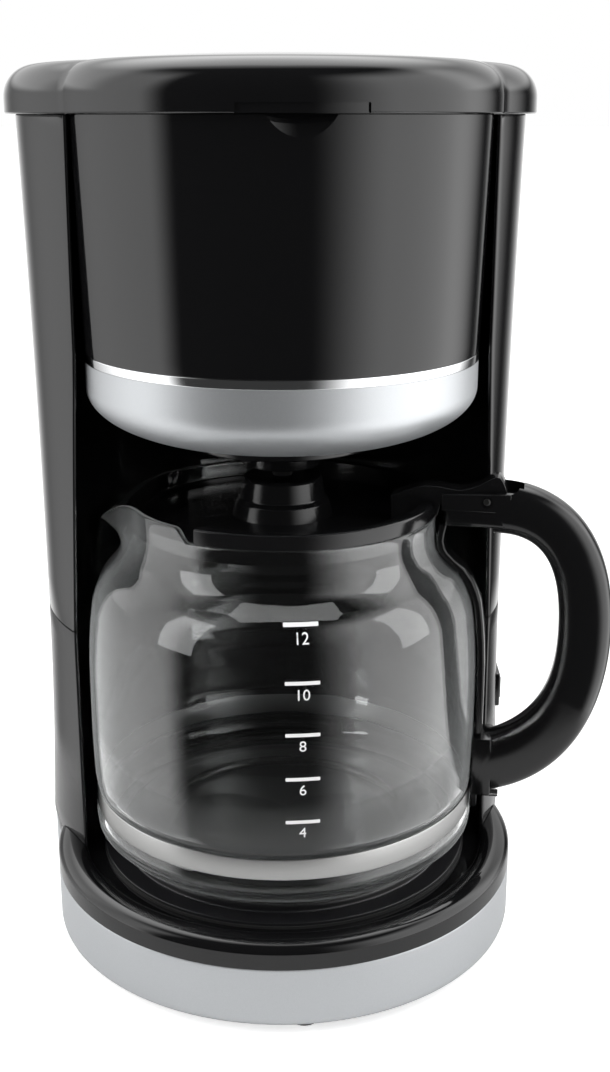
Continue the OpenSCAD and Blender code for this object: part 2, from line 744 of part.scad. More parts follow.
module drum_shell() {
    ledge_z = basket_rim_z - 4;
    scoop_sphere = 45;
    scoop_out = 41.6;
    scoop_up = 9.3;
    color(black) difference() {
        union() {
            rotate_extrude() polygon([[drum_low_r, band_top_z], [drum_top_r, housing_top_z],
                [drum_top_r - wall, housing_top_z], [drum_low_r - wall, band_top_z]]);
            // Ledge that carries the filter basket
            rotate_extrude() polygon([[drum_r(ledge_z) - 1, ledge_z], [basket_top_r + 1.2, ledge_z],
                [basket_top_r + 1.2, ledge_z - 1.6], [drum_r(ledge_z) - 1, ledge_z - 7]]);
            intersection() {
                rotate_extrude() polygon([[drum_r(housing_top_z - 14) - 0.5, housing_top_z - 14],
                    [drum_top_r - 0.5, housing_top_z], [drum_top_r - 5.2, housing_top_z],
                    [drum_top_r - 5.2, housing_top_z - 11]]);
                translate([-20, -drum_top_r - 5, housing_top_z - 16]) cube([40, 20, 20]);
            }
        }
        translate([0, -drum_top_r - scoop_out, housing_top_z + scoop_up]) sphere(scoop_sphere);
        riser_notch();
    }
}

module chrome_band() {
    color([0.9, 0.9, 0.92]) rotate_extrude() polygon([[drum_low_r, band_z], [drum_low_r, band_top_z],
        [drum_low_r - wall, band_top_z], [drum_low_r - wall, band_z]]);
}

module silver_bowl() {
    a = drum_low_r - 0.2 - bowl_flat_r;
    t = 2;
    hole_r = outlet_r - 6;
    outer = ellipse_arc([bowl_flat_r, bowl_curve_z], a, bowl_curve_h, 0, -90, 24);
    inner = ellipse_arc([bowl_flat_r, bowl_curve_z], a - t, bowl_curve_h - t, -90, 0, 24);
    color(silver) difference() {
        rotate_extrude() polygon(concat([[bowl_flat_r + a, band_z]], outer, [[1, bowl_bottom_z],
            [1, bowl_bottom_z + t]], inner, [[bowl_flat_r + a - t, band_z]]));
        translate([0, 0, bowl_bottom_z - 1]) cylinder(r = hole_r, h = 8);
    }
}

module outlet_ring() {
    flange_t = 2;
    flange_z = bowl_bottom_z - 3.7;
    seat_z = bowl_bottom_z + 2.6;
    lip_r = outlet_r - 6.2;
    hub_r = hub_outer_r + 0.5;
    color(black) rotate_extrude() polygon([[hub_r, outlet_z], [hub_r + flange_t, outlet_z],
        [hub_r + flange_t, flange_z], [outlet_r, flange_z], [outlet_r, bowl_bottom_z],
        [lip_r, bowl_bottom_z], [lip_r, seat_z], [lip_r - flange_t, seat_z],
        [lip_r - flange_t, flange_z + flange_t], [hub_r, flange_z + flange_t]]);
}

// ---- Filter basket with its drip stop ----

hub_outer_r = 12;
hub_inner_r = 9.6;
hub_z = outlet_z + 1;
hub_floor_t = 2;
stem_hole_r = 4.6;
seal_seat_z = hub_z + hub_floor_t;
drip_seal_t = 1.8;
head_t = 2;
head_z = seal_seat_z + drip_seal_t + 0.05;
cage_z = basket_floor_z;

module filter_basket() {
    w = basket_wall;
    rim_t = 2;
    ribs = 24;
    color([0.1, 0.1, 0.1]) {
        difference() {
            union() {
                rotate_extrude() polygon([[hub_inner_r, basket_floor_z], [basket_floor_r, basket_floor_z],
                    [basket_top_r, basket_rim_z - rim_t], [basket_rim_r, basket_rim_z - rim_t],
                    [basket_rim_r, basket_rim_z], [basket_top_r - w, basket_rim_z],
                    [basket_floor_r - w, basket_floor_z + w], [hub_inner_r, basket_floor_z + w]]);
                rotate_extrude() polygon([[hub_inner_r, hub_z], [hub_outer_r, hub_z],
                    [hub_outer_r, basket_floor_z + w], [hub_inner_r, basket_floor_z + w]]);
                translate([0, 0, hub_z]) cylinder(r = hub_inner_r + 0.2, h = hub_floor_t);
                // Ribs keep the paper filter off the wall
                for (i = [0:ribs - 1]) rotate([0, 0, i * 360 / ribs])
                    rotate([90, 0, 0]) translate([0, 0, -0.6]) linear_extrude(1.2)
                        polygon([[basket_floor_r - w - 1.6, basket_floor_z + w - 0.2],
                            [basket_floor_r - 0.8, basket_floor_z + w - 0.2],
                            [basket_top_r - 0.8, basket_rim_z - 14], [basket_top_r - w - 2, basket_rim_z - 14]]);
                for (a = [0:120:240]) rotate([0, 0, a]) translate([0, -1.2, cage_z])
                    cube([hub_inner_r + 0.4, 2.4, w]);
                translate([0, 0, cage_z]) cylinder(r = stem_r + 2, h = w + 1.2);
            }
            translate([0, 0, hub_z - 1]) cylinder(r = stem_hole_r, h = hub_floor_t + 2);
            translate([0, 0, cage_z - 1]) cylinder(r = stem_r + 0.08, h = 8);
        }
        // Two finger tabs for lifting the basket out
        for (side = [-1, 1]) translate([side * (basket_rim_r - 5), 0, basket_rim_z - eps])
            translate([-1, -8, 0]) cube([2, 16, 5]);
    }
}

// The turret ends just below the outlet ring, and the drip stop's tip rests over it
turret_gap = 4.6;
turret_top_z = outlet_z - turret_gap;

module drip_stem() {
    tip_z = turret_top_z + fit_gap;
    button_h = 1.9;
    color(white_plastic) {
        translate([0, 0, tip_z]) cylinder(r = stem_r, h = cage_z + 5 - tip_z);
        translate([0, 0, tip_z]) cylinder(r1 = 3.6, r2 = 4.2, h = button_h);
        translate([0, 0, head_z]) cylinder(r = 7, h = head_t);
    }
}

module drip_seal() {
    color([0.6, 0.2, 0.15]) translate([0, 0, seal_seat_z + 0.02]) difference() {
        cylinder(r = 7.6, h = drip_seal_t);
        translate([0, 0, -1]) cylinder(r = stem_r + 0.02, h = drip_seal_t + 2);
    }
}

spring_turns = 5;
spring_steps = 14;
spring_sides = 6;
module drip_spring() {
    wire = 0.45;
    coil_r = 4.6;
    z0 = head_z + head_t + wire + 0.1;
    z1 = cage_z - wire - 0.1;
    n = spring_turns * spring_steps;
    pts = [for (i = [0:n]) let (a = 360 * i / spring_steps, z = z0 + (z1 - z0) * i / n)
        for (k = [0:spring_sides - 1]) let (b = 360 * k / spring_sides, q = coil_r + wire * cos(b))
            [q * cos(a), q * sin(a), z + wire * sin(b)]];
    faces = concat([[for (k = [0:spring_sides - 1]) k]],
        [for (i = [0:n - 1]) for (k = [0:spring_sides - 1])
            [i * spring_sides + k, (i + 1) * spring_sides + k,
             (i + 1) * spring_sides + (k + 1) % spring_sides, i * spring_sides + (k + 1) % spring_sides]],
        [[for (k = [spring_sides - 1:-1:0]) n * spring_sides + k]]);
    color(steel) polyhedron(pts, faces);
}

// ---- Brew lid ----

function lobe(r, inset) = concat([[0, lid_z - (inset > 0 ? 1 : 0)], [r - inset, lid_z - (inset > 0 ? 1 : 0)]],
    arc([r - lid_round, lid_z + lid_side_h], lid_round - inset, 0, 90, 10),
    [for (i = [1:5]) let (q = 1 - i / 5) [(r - lid_round) * q, lid_top_z - inset - lid_crown_h * q * q]]);

module lid_form(inset) {
    rotate_extrude() polygon(lobe(lid_front_r, inset));
    intersection() {
        translate([0, rear_cy, 0]) rotate_extrude() polygon(lobe(lid_rear_r, inset));
        translate([0, 0, lid_z - 2]) linear_extrude(60) rear_plan(lid_rear_r, inset);
        // Rounds the upper back edge like the others
        rotate([90, 0, 90]) translate([0, 0, -150]) linear_extrude(300) polygon(concat(
            [[-200, lid_top_z + 9], [-200, lid_z - 2], [back_y - inset, lid_z - 2]],
            arc([back_y - lid_round, lid_z + lid_side_h], lid_round - inset, 0, 80, 10),
            [[back_y - lid_round - 8, lid_top_z + 9]]));
    }
}

module brew_lid() {
    thumb_h = 3.4;
    knuckle_l = 2 * (knuckle_half_w - knuckle_gap);
    color(black) {
        difference() {
            lid_form(0);
            lid_form(lid_wall);
            translate([-thumb_w / 2, -lid_front_r - 5, lid_z - 1]) cube([thumb_w, 12, thumb_h + 1]);
        }
        // Hinge knuckle reaching down from the back edge
        difference() {
            hull() {
                hinge_cylinder(knuckle_r, -knuckle_l / 2, knuckle_l / 2);
                translate([-knuckle_l / 2, back_y - lid_wall, lid_z + 0.2]) cube([knuckle_l, lid_wall - 0.1, 3]);
            }
            hinge_cylinder(hinge_pin_r + 0.06, -knuckle_l, knuckle_l);
        }
    }
}

function lid_under(x, y) = lid_top_z - lid_wall - lid_crown_h * min(
    pow(norm([x, y]) / (lid_front_r - lid_round), 2),
    pow(norm([x, y - rear_cy]) / (lid_rear_r - lid_round), 2));

// Shower tray under the lid: takes water from the riser and spreads it over the coffee
module lid_shower() {
    tray_z = lid_z - 6.5;
    tray_top = lid_z + lid_side_h + lid_round - lid_wall - 1.4;
    tray_w = 24;
    rear_y = riser_tip_y + 8;
    front_r = 27;
    color([0.1, 0.1, 0.1]) difference() {
        union() {
            translate([0, 0, tray_z]) cylinder(r = front_r, h = tray_top - tray_z);
            translate([-tray_w / 2, 0, tray_z]) cube([tray_w, rear_y, tray_top - tray_z]);
            // Posts that hang the tray from the lid
            for (p = [[10, riser_tip_y - 2], [-10, riser_tip_y - 2], [17, -17], [-17, -17]])
                translate([p[0], p[1], tray_z]) cylinder(r = 3, h = lid_under(p[0], p[1]) - fit_gap - tray_z);
        }
        translate([0, 0, tray_z + 1.6]) cylinder(r = front_r - 1.8, h = 40);
        translate([-tray_w / 2 + 1.8, 0, tray_z + 1.6]) cube([tray_w - 3.6, rear_y - 1.8, 40]);
        translate([0, riser_tip_y, tray_z - 1]) cylinder(r = riser_r + 1.5, h = 4);
        for (ring = [[6, 8], [12, 16], [18, 22]]) for (i = [0:ring[0] - 1]) rotate([0, 0, i * 360 / ring[0]])
            translate([ring[1], 0, tray_z - 1]) cylinder(r = 1.5, h = 4);
    }
}

module lid_hinge_pin() {
    color(steel) translate([-hinge_half_w, hinge_y, hinge_z]) rotate([0, 90, 0])
        cylinder(r = hinge_pin_r, h = 2 * hinge_half_w);
}

// ---- Carafe ----

// Heights of the glass profile are measured from the carafe's own bottom
glass_r = bay_low_r - carafe_gap;
groove_r = glass_r - 1.9;
widest_z = 0.458 * glass_h;
shoulder = [[glass_r, widest_z], [glass_r + 0.2, 0.738 * glass_h], [neck_r + 13, 0.809 * glass_h],
    [neck_r + 3, glass_h - 17.9]];
function glass_outer(d) = concat(
    [[0, 1.2 + d], [46, 1.2 + d], [52, d]],
    ellipse_arc([glass_r - 16, 9], 14.4 - d, 9 - d, -90, 0, 8),
    [[groove_r - d, steel_z - 0.4], [groove_r - d, steel_z + steel_w + 0.4],
     [glass_r - 0.5 - d, steel_z + steel_w + 4], [glass_r - d, 0.325 * glass_h], [glass_r - d, widest_z]],
    [for (i = [1:12]) bezier(shoulder, i / 12) - [d, d * 0.6 * i / 12]],
    [[neck_r + 0.6 - d, glass_h - 14.4], [neck_r - d, glass_h - 10.4], [neck_r - d, glass_h - 2],
     [neck_r + 0.2 - d, glass_h]]);

spout_angle = 180 + handle_angle;
spout_tip_r = neck_r + spout_out;
spout_tip_z = glass_h - spout_dip;
// The lip is cut along a slope from beside the neck down to the tip
lip_in_s = neck_r - 9;
lip_slope = atan((spout_rise + spout_dip + 0.6) / (spout_tip_r - lip_in_s));

module spout_form(d) {
    hull() {
        for (side = [-1, 1]) rotate([0, 0, side * 32]) translate([neck_r - 4 - d, 0, glass_h - 3])
            cylinder(r = 2.2, h = spout_rise + 3 + d, $fn = 16);
        for (side = [-1, 1]) rotate([0, 0, side * 20]) translate([neck_r - 3 - d, 0, glass_h - 18.4])
            sphere(2, $fn = 16);
        translate([spout_tip_r - 3.4 - d, 0, spout_tip_z]) sphere(3.4, $fn = 16);
        translate([spout_tip_r - 6 - d, 0, spout_tip_z - 4]) sphere(3, $fn = 16);
    }
}

module spout_wedge(half) {
    linear_extrude(2 * glass_h) polygon([[0, 0], [glass_r * cos(half), glass_r * sin(half)],
        [2 * glass_r, glass_r * sin(half)], [2 * glass_r, -glass_r * sin(half)],
        [glass_r * cos(half), -glass_r * sin(half)]]);
}

module carafe_glass() {
    lip_top = glass_h + spout_rise;
    color([0.75, 0.8, 0.82, 0.35]) translate([0, 0, carafe_z]) difference() {
        union() {
            rotate_extrude() polygon(concat(glass_outer(0), [[0, glass_h]]));
            // Beside the spout the rim stands higher, up to the ends of the lid's skirt
            rotate([0, 0, spout_angle]) intersection() {
                union() {
                    spout_form(0);
                    cylinder(r = neck_r, h = lip_top);
                }
                spout_wedge(spout_gap - 3);
                cylinder(r = 2 * neck_r, h = lip_top);
            }
        }
        rotate_extrude() polygon(concat(glass_outer(glass_t), [[neck_r - glass_t, lip_top + 1], [0, lip_top + 1]]));
        rotate([0, 0, spout_angle]) {
            spout_form(glass_t);
            // The pouring lip dips towards the tip
            translate([lip_in_s, -neck_r / 2, lip_top]) rotate([0, lip_slope, 0])
                cube([neck_r, neck_r, neck_r / 2]);
        }
    }
}

module steel_band() {
    color(steel) translate([0, 0, carafe_z + steel_z]) difference() {
        cylinder(r = groove_r + 0.1 + steel_t, h = steel_w);
        translate([0, 0, -1]) cylinder(r = groove_r + 0.1, h = steel_w + 2);
    }
}

module on_handle_side() { rotate([0, 0, handle_angle]) children(); }

// Strap that stands against the glass between the steel band and the lid hinge
spine_in = glass_r + 0.4;
spine_t = 2.2;
arm_z = rim_z - 8.5;

module handle_spine() {
    spine_w = arm_w - 1;
    strap = concat(
        [[groove_r + 0.1 + steel_t + 0.2, steel_z + steel_w + 1], [spine_in, 0.295 * glass_h],
         [spine_in, widest_z]],
        [for (i = [1:10]) bezier(shoulder, i / 12) + [0.9, 0.8]], [[neck_r + 4.8, glass_h - 13.5]]);
    outer = reversed([for (p = strap) p + [spine_t, 0.6]]);
    color(black) translate([0, 0, carafe_z]) on_handle_side() rotate([90, 0, 0])
        translate([0, 0, -spine_w / 2]) linear_extrude(spine_w) polygon(concat(strap, outer));
}

// The grip's outer and inner outlines, as distance from the axis and height
grip_mid_z = carafe_z + 0.613 * glass_h;
grip_foot_s = glass_r + 4.5;
outer_up = [[grip_foot_s + 2, rim_z + 13], [handle_reach - 18.6, rim_z + 10.5], [handle_reach + 0.2, rim_z - 13.5],
    [handle_reach, grip_mid_z]];
outer_down = [[handle_reach, grip_mid_z], [handle_reach, grip_mid_z - 29],
    [handle_reach - 6.6, grip_mid_z - 61], [grip_foot_s, carafe_z + 13.6]];
inner_up = [[grip_foot_s, rim_z - 9], [handle_reach - grip_t - 9.4, rim_z - 9.5],
    [handle_reach - grip_t, rim_z - 25.5], [handle_reach - grip_t, grip_mid_z]];
inner_down = [[handle_reach - grip_t, grip_mid_z], [handle_reach - grip_t, grip_mid_z - 21],
    [handle_reach - grip_t - 7.4, grip_mid_z - 35], [grip_foot_s, carafe_z + 41]];
handle_rings = 15;
handle_sides = 16;

function section_point(o, i, w, k) = let (c = (o + i) / 2, h = (o - i) / 2,
        a = 360 * (k + 0.5) / handle_sides,
        u = sign(cos(a)) * pow(abs(cos(a)), 0.6), v = sign(sin(a)) * pow(abs(sin(a)), 0.6))
    [c[0] + h[0] * u, w / 2 * v, c[1] + h[1] * u];

module handle_bow() {
    stations = concat(
        [for (i = [0:handle_rings]) let (t = i / handle_rings) [bezier(outer_up, t), bezier(inner_up, t), t]],
        [for (i = [1:handle_rings]) let (t = i / handle_rings)
            [bezier(outer_down, t), bezier(inner_down, t), 1 - t]]);
    pts = [for (s = stations) for (k = [0:handle_sides - 1])
        section_point(s[0], s[1], arm_w + (grip_w - arm_w) * min(1, 1.6 * s[2]), k)];
    n = len(stations) - 1;
    faces = concat([[for (k = [handle_sides - 1:-1:0]) k]],
        [for (i = [0:n - 1]) for (k = [0:handle_sides - 1])
            [i * handle_sides + k, i * handle_sides + (k + 1) % handle_sides,
             (i + 1) * handle_sides + (k + 1) % handle_sides, (i + 1) * handle_sides + k]],
        [[for (k = [0:handle_sides - 1]) n * handle_sides + k]]);
    polyhedron(pts, faces);
}

carafe_hinge_z = rim_z + 4.6;
carafe_pin_r = 1.5;
ear_w = 3;
arm_h = 6.6;

// Outline drawn as distance from the axis and height, extruded across the handle
module across_handle(w, y = 0) {
    translate([0, y + w / 2, 0]) rotate([90, 0, 0]) linear_extrude(w) children();
}

// Ear beside the lid's tongue: a bar over the arm that ends round the hinge pin
module ear_outline() {
    offset(r = 1.2, $fn = 24) offset(delta = -1.2) {
        translate([neck_r + 3.2, arm_z + 2])
            square([hinge_s - neck_r + 4.8, carafe_hinge_z + 0.8 - arm_z - 2]);
        translate([hinge_s, carafe_hinge_z]) circle(4.4, $fn = 48);
    }
}

// Hollow behind the hinge in which the thumb tab swings down
module tab_hollow_outline() {
    translate([hinge_s - 20, arm_z + arm_h]) square([24, 30]);
    translate([hinge_s + 5.5, arm_z + arm_h + 9]) circle(9);
    translate([hinge_s + 2, arm_z + arm_h + 9]) square([12.5, 20]);
}

module carafe_handle() {
    color(black) on_handle_side() difference() {
        union() {
            handle_bow();
            // Arm over the shoulder to the neck
            across_handle(arm_w) translate([neck_r + 4.8, arm_z])
                square([grip_foot_s - neck_r, arm_h]);
            for (side = [-1, 1]) across_handle(ear_w, side * (arm_w - ear_w) / 2) ear_outline();
            // Foot of the grip against the steel band
            translate([groove_r + steel_t + 0.5, -arm_w / 2, carafe_z + steel_z - 1.8])
                cube([8, arm_w, 27]);
        }
        across_handle(arm_w - 2 * ear_w) tab_hollow_outline();
        across_handle(2 * arm_w) translate([hinge_s, carafe_hinge_z]) circle(carafe_pin_r);
        // Room for the steel band and the spine's strap
        translate([0, 0, carafe_z]) rotate_extrude()
            polygon([[0, -2], [groove_r + steel_t + 0.4, -2],
                [groove_r + steel_t + 0.4, steel_z + steel_w + 0.5],
                [spine_in + spine_t + 0.4, steel_z + steel_w + 0.5],
                [spine_in + spine_t + 0.4, 0.37 * glass_h], [0, 0.37 * glass_h]]);
        translate([neck_r, 0, carafe_z + steel_z + steel_w / 2]) rotate([0, 90, 0])
            cylinder(r = 1.55, h = glass_r - neck_r + 12);
    }
}

module band_screw() {
    z = carafe_z + steel_z + steel_w / 2;
    color(steel) on_handle_side() translate([glass_r + 0.5, 0, z]) rotate([0, 90, 0])
        cylinder(r = 1.5, h = 10);
}

// ---- Carafe lid ----

module carafe_lid() {
    skirt_z = rim_z + fit_gap;
    skirt_h = 5.8;
    disc_z = rim_z - 1.8;
    plug_r = neck_r - glass_t - 0.6;
    tongue_w = arm_w - 2 * ear_w - 0.6;
    color(black) difference() {
        union() {
            // Skirt round the top, left open at the spout
            difference() {
                rotate_extrude() polygon([[neck_r, skirt_z], [neck_r, skirt_z + skirt_h - 1],
                    [neck_r - 1, skirt_z + skirt_h], [plug_r - 2.4, skirt_z + skirt_h],
                    [plug_r - 2.4, disc_z + 1], [plug_r, disc_z + 1], [plug_r, skirt_z]]);
                rotate([0, 0, spout_angle]) translate([0, 0, skirt_z - 10]) linear_extrude(40)
                    polygon([[0, 0], [200 * cos(spout_gap), -200 * sin(spout_gap)], [200, -200],
                        [200, 200], [200 * cos(spout_gap), 200 * sin(spout_gap)]]);
            }
            // Recessed disc with a shallow plug wall inside the neck
            rotate_extrude() polygon([[14, disc_z], [plug_r, disc_z], [plug_r, disc_z - 4],
                [plug_r - 1.6, disc_z - 4], [plug_r - 1.6, disc_z - 1.8], [14, disc_z - 1.8]]);
            rotate_extrude() polygon([[plug_r - 2.4, disc_z - 1], [plug_r, disc_z - 1],
                [plug_r, disc_z + 1.6], [plug_r - 2.4, disc_z + 1.6]]);
            // Turret that receives the coffee and pushes the drip stop
            rotate_extrude() polygon([[12.8, disc_z - 1.8], [20, disc_z - 1], [18.2, disc_z + 5.4],
                [16.6, disc_z + 7], [15.4, turret_top_z - 1], [14.6, turret_top_z], [12.8, turret_top_z]]);
            for (a = [0, 90]) rotate([0, 0, a]) translate([-13, -1, turret_top_z - 8]) cube([26, 2, 3.6]);
            translate([0, 0, turret_top_z - 8]) cylinder(r = 4.4, h = 4);
            // Tongue over the skirt to the hinge, with the thumb tab above it
            on_handle_side() across_handle(tongue_w) {
                tongue_outline(skirt_z + skirt_h);
                translate([plug_r - 14, disc_z]) square([12, skirt_z + skirt_h + 1 - disc_z]);
                translate([hinge_s, carafe_hinge_z]) circle(3.6, $fn = 48);
            }
        }
        on_handle_side() across_handle(2 * arm_w) translate([hinge_s, carafe_hinge_z])
            circle(carafe_pin_r + 0.06);
    }
}

// Side of the tongue: flat over the skirt, then swept up into the thumb tab
module tongue_outline(top_z) {
    tab_top = carafe_hinge_z + tab_h;
    sweep = [[hinge_s - 17, top_z + 2], [hinge_s - 9, top_z + 2], [hinge_s - 9.5, top_z + 5],
        [hinge_s - 7, tab_top - 1]];
    back = [[hinge_s + 2, tab_top - 0.6], [hinge_s + 3.2, tab_top - 6], [hinge_s + 3.6, carafe_hinge_z + 5],
        [hinge_s + 3.5, carafe_hinge_z]];
    offset(r = 0.8, $fn = 24) offset(delta = -0.8) polygon(concat(
        [[neck_r - 3, rim_z + 1], [neck_r - 3, top_z - 2], [neck_r - 17, top_z - 2], [neck_r - 17, top_z + 2]],
        [for (i = [0:8]) bezier(sweep, i / 8)], [[hinge_s - 4, tab_top]],
        [for (i = [0:8]) bezier(back, i / 8)], [[hinge_s, carafe_hinge_z - 3.6], [hinge_s - 3, rim_z + 1]]));
}

module carafe_hinge_pin() {
    color(steel) on_handle_side() translate([hinge_s, arm_w / 2, carafe_hinge_z]) rotate([90, 0, 0])
        cylinder(r = carafe_pin_r, h = arm_w);
}

placed() rubber_feet();
placed() bottom_cover();
placed() cover_screws();
placed() base_skirt();
placed() base_deck();
placed() plate_seal();
placed() hot_plate();
placed() heater_tube();
placed() heater_clamp();
placed() clamp_screws();
placed() thermostat();
placed() thermal_fuses();
placed() lower_column();
placed() upper_housing();
placed() water_tank();
placed() check_valve();
placed() check_ball();
placed() inlet_hose();
placed() outlet_hose();
placed() riser_pipe();
placed() switch_bezel();
placed() switch_body();
placed() rocker();
placed() drum_shell();
placed() chrome_band();
placed() silver_bowl();
placed() outlet_ring();
placed() filter_basket();
placed() drip_stem();
placed() drip_seal();
placed() drip_spring();
placed() brew_lid();
placed() lid_shower();
placed() lid_hinge_pin();
placed() carafe_glass();
placed() steel_band();
placed() handle_spine();
placed() carafe_handle();
placed() band_screw();
placed() carafe_lid();
placed() carafe_hinge_pin();
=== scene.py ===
import bpy, bmesh, json, math
from mathutils import Vector, Matrix


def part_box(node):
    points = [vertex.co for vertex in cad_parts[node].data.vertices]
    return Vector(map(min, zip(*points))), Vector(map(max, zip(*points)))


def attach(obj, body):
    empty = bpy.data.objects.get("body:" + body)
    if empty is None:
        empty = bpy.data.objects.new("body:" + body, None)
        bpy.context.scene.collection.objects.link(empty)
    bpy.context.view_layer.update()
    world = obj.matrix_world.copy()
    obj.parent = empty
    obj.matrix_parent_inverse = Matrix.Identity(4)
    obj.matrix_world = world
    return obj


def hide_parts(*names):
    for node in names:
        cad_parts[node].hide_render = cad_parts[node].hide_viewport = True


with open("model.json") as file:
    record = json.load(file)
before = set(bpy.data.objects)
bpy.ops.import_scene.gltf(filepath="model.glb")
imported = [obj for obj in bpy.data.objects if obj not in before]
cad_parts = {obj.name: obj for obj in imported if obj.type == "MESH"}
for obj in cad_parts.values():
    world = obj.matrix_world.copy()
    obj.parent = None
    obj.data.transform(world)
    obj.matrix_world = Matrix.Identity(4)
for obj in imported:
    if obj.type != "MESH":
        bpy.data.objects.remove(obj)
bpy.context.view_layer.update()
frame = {"nodes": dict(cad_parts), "record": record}
mm = 0.001

# everything round is centred on the brew axis, which is the middle of the chrome band;
# the pieces below are drawn in millimetres about that axis, with the floor at 0
bandLow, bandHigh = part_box("chrome_band")
brewAxis = Vector(((bandLow.x + bandHigh.x) / 2, (bandLow.y + bandHigh.y) / 2, 0))
toMachine = Matrix.Translation(brewAxis) @ Matrix.Scale(mm, 4)


# the side of a CAD node's box, in millimetres from the brew axis
def edge(node, side):
    low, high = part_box(node)
    corner = high if side.isupper() else low
    axis = "xyz".index(side.lower())
    return (corner[axis] - brewAxis[axis]) / mm


seam = 0.3           # between the two rear mouldings
bandSheet = 0.8      # of the steel round the carafe
spoutRise = 5        # by which the CAD's glass stands higher beside the spout than its rim
underLid = 0.15      # between the lid and the housing

# heights and radii that several pieces share
sizes = {
    "deckTop": edge("lower_column", "z"), "skirtTop": edge("base_skirt", "Z"),
    "housingTop": edge("upper_housing", "Z"), "housingLow": edge("upper_housing", "z"),
    "columnTop": edge("upper_housing", "z") - seam, "bandLow": edge("chrome_band", "z"),
    "bandTop": edge("chrome_band", "Z"), "drumTopR": edge("drum_shell", "X"),
    "bandR": edge("chrome_band", "X"), "plateTop": edge("hot_plate", "Z"),
    "glassLow": edge("carafe_glass", "z"), "rim": edge("carafe_glass", "Z") - spoutRise,
    "baseR": -edge("base_skirt", "y"), "bowlLow": edge("silver_bowl", "z"), "backY": edge("base_skirt", "Y"),
    "lidLow": edge("upper_housing", "Z") + underLid, "rearTopR": edge("upper_housing", "X"),
    "steelR": edge("steel_band", "X") - bandSheet,
}
sizes["rearWaistR"] = sizes["rearTopR"] - 2.7
sizes["rearLowR"] = sizes["rearTopR"] - 0.3
sizes["bayLowR"] = sizes["baseR"] - 11.9
sizes["bayTopR"] = sizes["drumTopR"] + 0.8


class Value:
    def __init__(self, finish, socket):
        self.finish, self.socket = finish, socket

    def math(self, operation, other):
        return self.finish.node("ShaderNodeMath", {"operation": operation}, {0: self, 1: other})["Value"]

    def __add__(self, other): return self.math("ADD", other)
    def __radd__(self, other): return self.math("ADD", other)
    def __mul__(self, other): return self.math("MULTIPLY", other)
    def __rmul__(self, other): return self.math("MULTIPLY", other)
    def __sub__(self, other): return self.math("SUBTRACT", other)
    def __rsub__(self, other): return self * -1 + other


class Shading:
    def __init__(self, tree):
        self.tree = tree

    def node(self, kind, settings, inputs):
        made = self.tree.nodes.new(kind)
        for key, value in settings.items():
            if key == "stops":
                for element, (place, shade) in zip(made.color_ramp.elements, value):
                    element.position = place
                    element.color = (*shade, 1)
            else:
                setattr(made, key, value)
        for key, value in inputs.items():
            if isinstance(value, Value):
                self.tree.links.new(value.socket, made.inputs[key])
            else:
                made.inputs[key].default_value = value
        return {socket.name: Value(self, socket) for socket in made.outputs if socket.enabled}


class Finish(Shading):
    sockets = {"color": "Base Color", "rough": "Roughness", "metal": "Metallic", "coat": "Coat Weight",
               "coatRough": "Coat Roughness", "ior": "IOR", "glass": "Transmission Weight", "normal": "Normal"}

    def __init__(self, name, **values):
        self.material = bpy.data.materials.new(name)
        self.material.use_nodes = True
        super().__init__(self.material.node_tree)
        self.shader = self.tree.nodes["Principled BSDF"]
        for key, value in values.items():
            self.set(key, value)

    def set(self, key, value):
        socket = self.shader.inputs[self.sockets[key]]
        if isinstance(value, Value):
            self.tree.links.new(value.socket, socket)
        else:
            socket.default_value = (*value, 1) if key == "color" else value

    def noise(self, scale, detail=3, stretch=(1, 1, 1)):
        place = self.node("ShaderNodeTexCoord", {}, {})["Object"]
        place = self.node("ShaderNodeMapping", {}, {"Vector": place, "Scale": stretch})["Vector"]
        return self.node("ShaderNodeTexNoise", {}, {"Vector": place, "Scale": scale, "Detail": detail})["Fac"]

    def bump(self, height, strength, distance):
        return self.node("ShaderNodeBump", {}, {"Height": height, "Strength": strength,
                                                "Distance": distance})["Normal"]

    def shades(self, factor, dark, light):
        return self.node("ShaderNodeValToRGB", {"stops": [(0.3, dark), (0.7, light)]},
                         {"Fac": factor})["Color"]


def glossBlack():
    made = Finish("glossBlack", color=(0.0035, 0.0035, 0.0038), ior=1.48)
    made.set("rough", made.noise(45) * 0.02 + 0.045)
    made.set("normal", made.bump(made.noise(28, 2), 0.06, 0.0005))
    return made.material


def satinBlack():
    made = Finish("satinBlack", color=(0.0045, 0.0045, 0.0048), ior=1.46)
    made.set("rough", made.noise(700, 2) * 0.06 + 0.12)
    made.set("normal", made.bump(made.noise(2400, 2), 0.06, 0.00005))
    return made.material


def silverPlastic():
    made = Finish("silverPlastic", metal=0.75, ior=1.5, coat=0.15, coatRough=0.2)
    flake = made.noise(5200, 2)
    made.set("color", made.shades(flake, (0.46, 0.475, 0.49), (0.53, 0.545, 0.56)))
    made.set("rough", flake * 0.05 + 0.40)
    return made.material


def chromeTrim():
    made = Finish("chromeTrim", color=(0.83, 0.84, 0.85), metal=1.0)
    made.set("rough", made.noise(90) * 0.03 + 0.10)
    return made.material


def satinSteel():
    made = Finish("satinSteel", color=(0.42, 0.42, 0.415), metal=1.0)
    grain = made.noise(240, 3, (1, 1, 26))
    made.set("rough", grain * 0.12 + 0.26)
    made.set("normal", made.bump(grain, 0.08, 0.00006))
    return made.material


